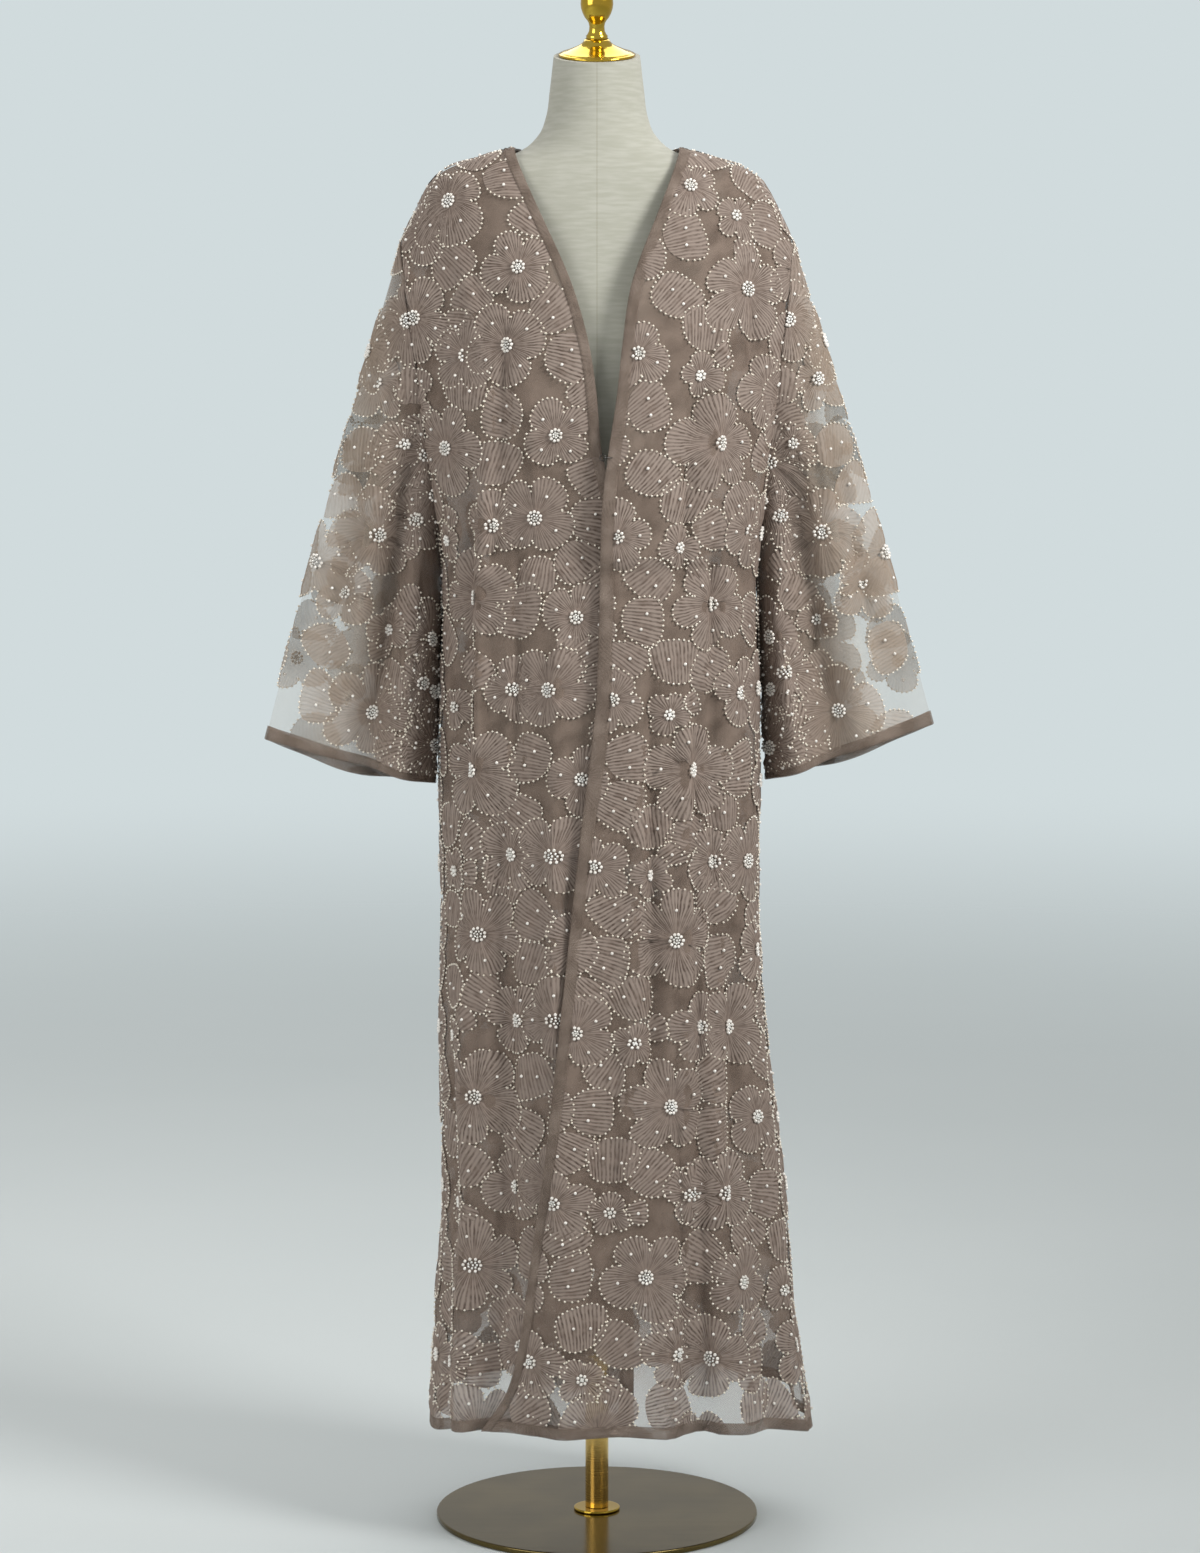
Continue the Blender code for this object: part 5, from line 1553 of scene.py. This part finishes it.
# %% The two wires
hook_low, hook_high = (np.array(corner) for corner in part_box("hook"))
eye_low, eye_high = (np.array(corner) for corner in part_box("eye"))
WIRE = float(hook_high[2] - hook_low[2]) / 2
bend = (hook_high[1] - hook_low[1] - 2 * WIRE) / 4
bend_x = hook_low[0] + WIRE + bend
turn = np.linspace(0, math.pi, 17)
route = np.concatenate([
    [[hook_high[0], hook_high[1] - WIRE]],
    np.stack([bend_x - bend * np.sin(turn), hook_high[1] - WIRE - bend + bend * np.cos(turn)], axis=-1),
    [[bend_x + (hook_high[0] - bend_x) / 3, hook_low[1] + WIRE]],
])
middle_z = (hook_low[2] + hook_high[2]) / 2
hook = wire("hook_wire", np.column_stack([route, np.full(len(route), middle_z)]), WIRE, dark_metal)
finish_piece(hook, "hook_metal", "hook")
eye_middle = (eye_low + eye_high) / 2
eye_radius = (eye_high[0] - eye_low[0]) / 2 - WIRE
turn = np.linspace(0, 2 * math.pi, 32, endpoint=False)
ring = eye_middle + eye_radius * np.stack([np.cos(turn), 0 * turn, np.sin(turn)], axis=-1)
finish_piece(wire("eye_wire", ring, WIRE, dark_metal, closed=True), "hook_metal", "eye")
print("closure at height", round(float(middle_z), 3))

# %% [markdown]
# Each cut piece of net has the size it was cut to. Its flat sizes are read here as lengths along the
# surface itself, because the panels aren't rectangles, and the pieces that go with it are listed.

# %% The sheets' flat sizes


for name, panel in panels.items():
    flat = panel["flat"]
    width, length = float(flat[:, -1, 0].max()), float(flat[-1, :, 1].max())
    go_with = [pieces[key] for key in pieces if key.startswith(name + "_")]
    go_with += [pieces[row[0]] for row in HEMS if row[1] == name]

# %% [markdown]
# The cloak stands on a plain pale floor that fades into a pale surround, so that no edge of a room shows.

# %% The floor
FLOOR_RADIUS, FLOOR_STEPS = 9.0, 128
FLOOR_DROP = 0.0005  # keeps it clear of the plate's underside
FLOOR_FADE = (0.6, 8.5)


def floor_finish():
    """A pale matt floor with a faint cloud in its tone, which fades out far from the middle."""
    floor = Finish("studio_floor", Roughness=0.9, Specular_IOR_Level=0.1)
    place = floor.place()
    tone = floor.mix(floor.noise(place, 1.5, 2.0), shade(203, 210, 211), shade(209, 215, 216))
    distance = floor.add("ShaderNodeVectorMath", {0: place}, output=1, operation="LENGTH")
    floor.join(floor.shader, {"Base Color": tone, "Alpha": floor.ramp(distance, *FLOOR_FADE, 1.0, 0.0)})
    return floor.material


turn = np.linspace(0, 2 * math.pi, FLOOR_STEPS, endpoint=False)
rim = np.stack([FLOOR_RADIUS * np.cos(turn), FLOOR_RADIUS * np.sin(turn), 0 * turn - FLOOR_DROP], axis=-1)
step = np.arange(FLOOR_STEPS)
fan = np.stack([np.full(FLOOR_STEPS, FLOOR_STEPS), step, (step + 1) % FLOOR_STEPS], axis=-1)
floor = make_piece("floor", np.append(rim, [[0, 0, -FLOOR_DROP]], axis=0), fan, floor_finish())
print("floor radius:", FLOOR_RADIUS)

# %% [markdown]
# Three soft lights: the key comes from the right and above, as a large window would, the fill from the
# left, and a weak one from above and behind parts the shoulders from the surround. A narrow spread keeps
# the key on the shoulders and sleeves, so that the skirt doesn't grow too bright.

# %% Lights
LIGHTS = (
    # name, place, the point it looks at, size, watts, colour, angle that the light keeps within
    ("key", (2.7, -1.9, 3.0), (0.0, 0.0, 1.40), 1.4, 15.5, (1.0, 0.99, 0.97), math.radians(56)),
    ("fill", (-3.0, -2.6, 1.9), (0.0, 0.0, 0.9), 2.4, 60.0, (1.0, 0.99, 0.97), math.pi),
    ("top", (0.0, 1.6, 3.4), (0.0, 0.0, 1.2), 2.0, 30.0, (1.0, 1.0, 1.0), math.pi),
)


def soft_light(name, place, target, size, power, colour, spread):
    """A square area light that looks at a point, and whose light keeps within an angle."""
    lamp = bpy.data.lights.new(name, "AREA")
    lamp.size, lamp.energy, lamp.color, lamp.spread = size, power, colour, spread
    item = bpy.data.objects.new(name, lamp)
    item.location = place
    item.rotation_euler = (Vector(target) - Vector(place)).to_track_quat("-Z", "Y").to_euler()
    bpy.context.scene.collection.objects.link(item)


for light in LIGHTS:
    soft_light(*light)
print("lights:", ", ".join(light[0] for light in LIGHTS))

# %% [markdown]
# The surround has one colour for the eye and a warmer, weaker one for the light that it sheds. Rays pass
# through many layers of net, so many see-through surfaces in a row have to be allowed.

# %% Surround
SURROUND_SEEN = shade(209, 219, 221)
SURROUND_LIGHT = shade(188, 188, 186)
NET_LAYERS = 48  # see-through surfaces that one ray may pass

scene = bpy.context.scene
scene.world = bpy.data.worlds.new("studio")
scene.world.use_nodes = True
world = scene.world.node_tree
seen = world.nodes.new("ShaderNodeLightPath").outputs["Is Camera Ray"]
tone = world.nodes.new("ShaderNodeMix")
tone.data_type = "RGBA"
tone.inputs[6].default_value, tone.inputs[7].default_value = SURROUND_LIGHT, SURROUND_SEEN
world.links.new(seen, tone.inputs[0])
world.links.new(tone.outputs[2], world.nodes["Background"].inputs["Color"])
scene.view_settings.view_transform = "Standard"
scene.cycles.transparent_max_bounces = NET_LAYERS
print("a ray may pass", NET_LAYERS, "layers")

# %% [markdown]
# A long lens from far off keeps the sleeves and the skirt in proportion. It looks down a little, and the
# shift puts the cloak in the middle of the frame.

# %% Camera
CAMERA_DISTANCE, CAMERA_HEIGHT, CAMERA_PITCH = 4.5, 1.270, math.radians(2.857)
LENS, SHIFT_X, SHIFT_Y = 93.47, 0.002, -0.12

camera = bpy.data.cameras.new("camera")
camera.lens, camera.shift_x, camera.shift_y = LENS, SHIFT_X, SHIFT_Y
camera_item = bpy.data.objects.new("camera", camera)
camera_item.location = (0.0, -CAMERA_DISTANCE, CAMERA_HEIGHT)
camera_item.rotation_euler = (math.pi / 2 - CAMERA_PITCH, 0.0, 0.0)
scene.collection.objects.link(camera_item)
scene.camera = camera_item
print("camera", CAMERA_DISTANCE, "m away with a", LENS, "mm lens")
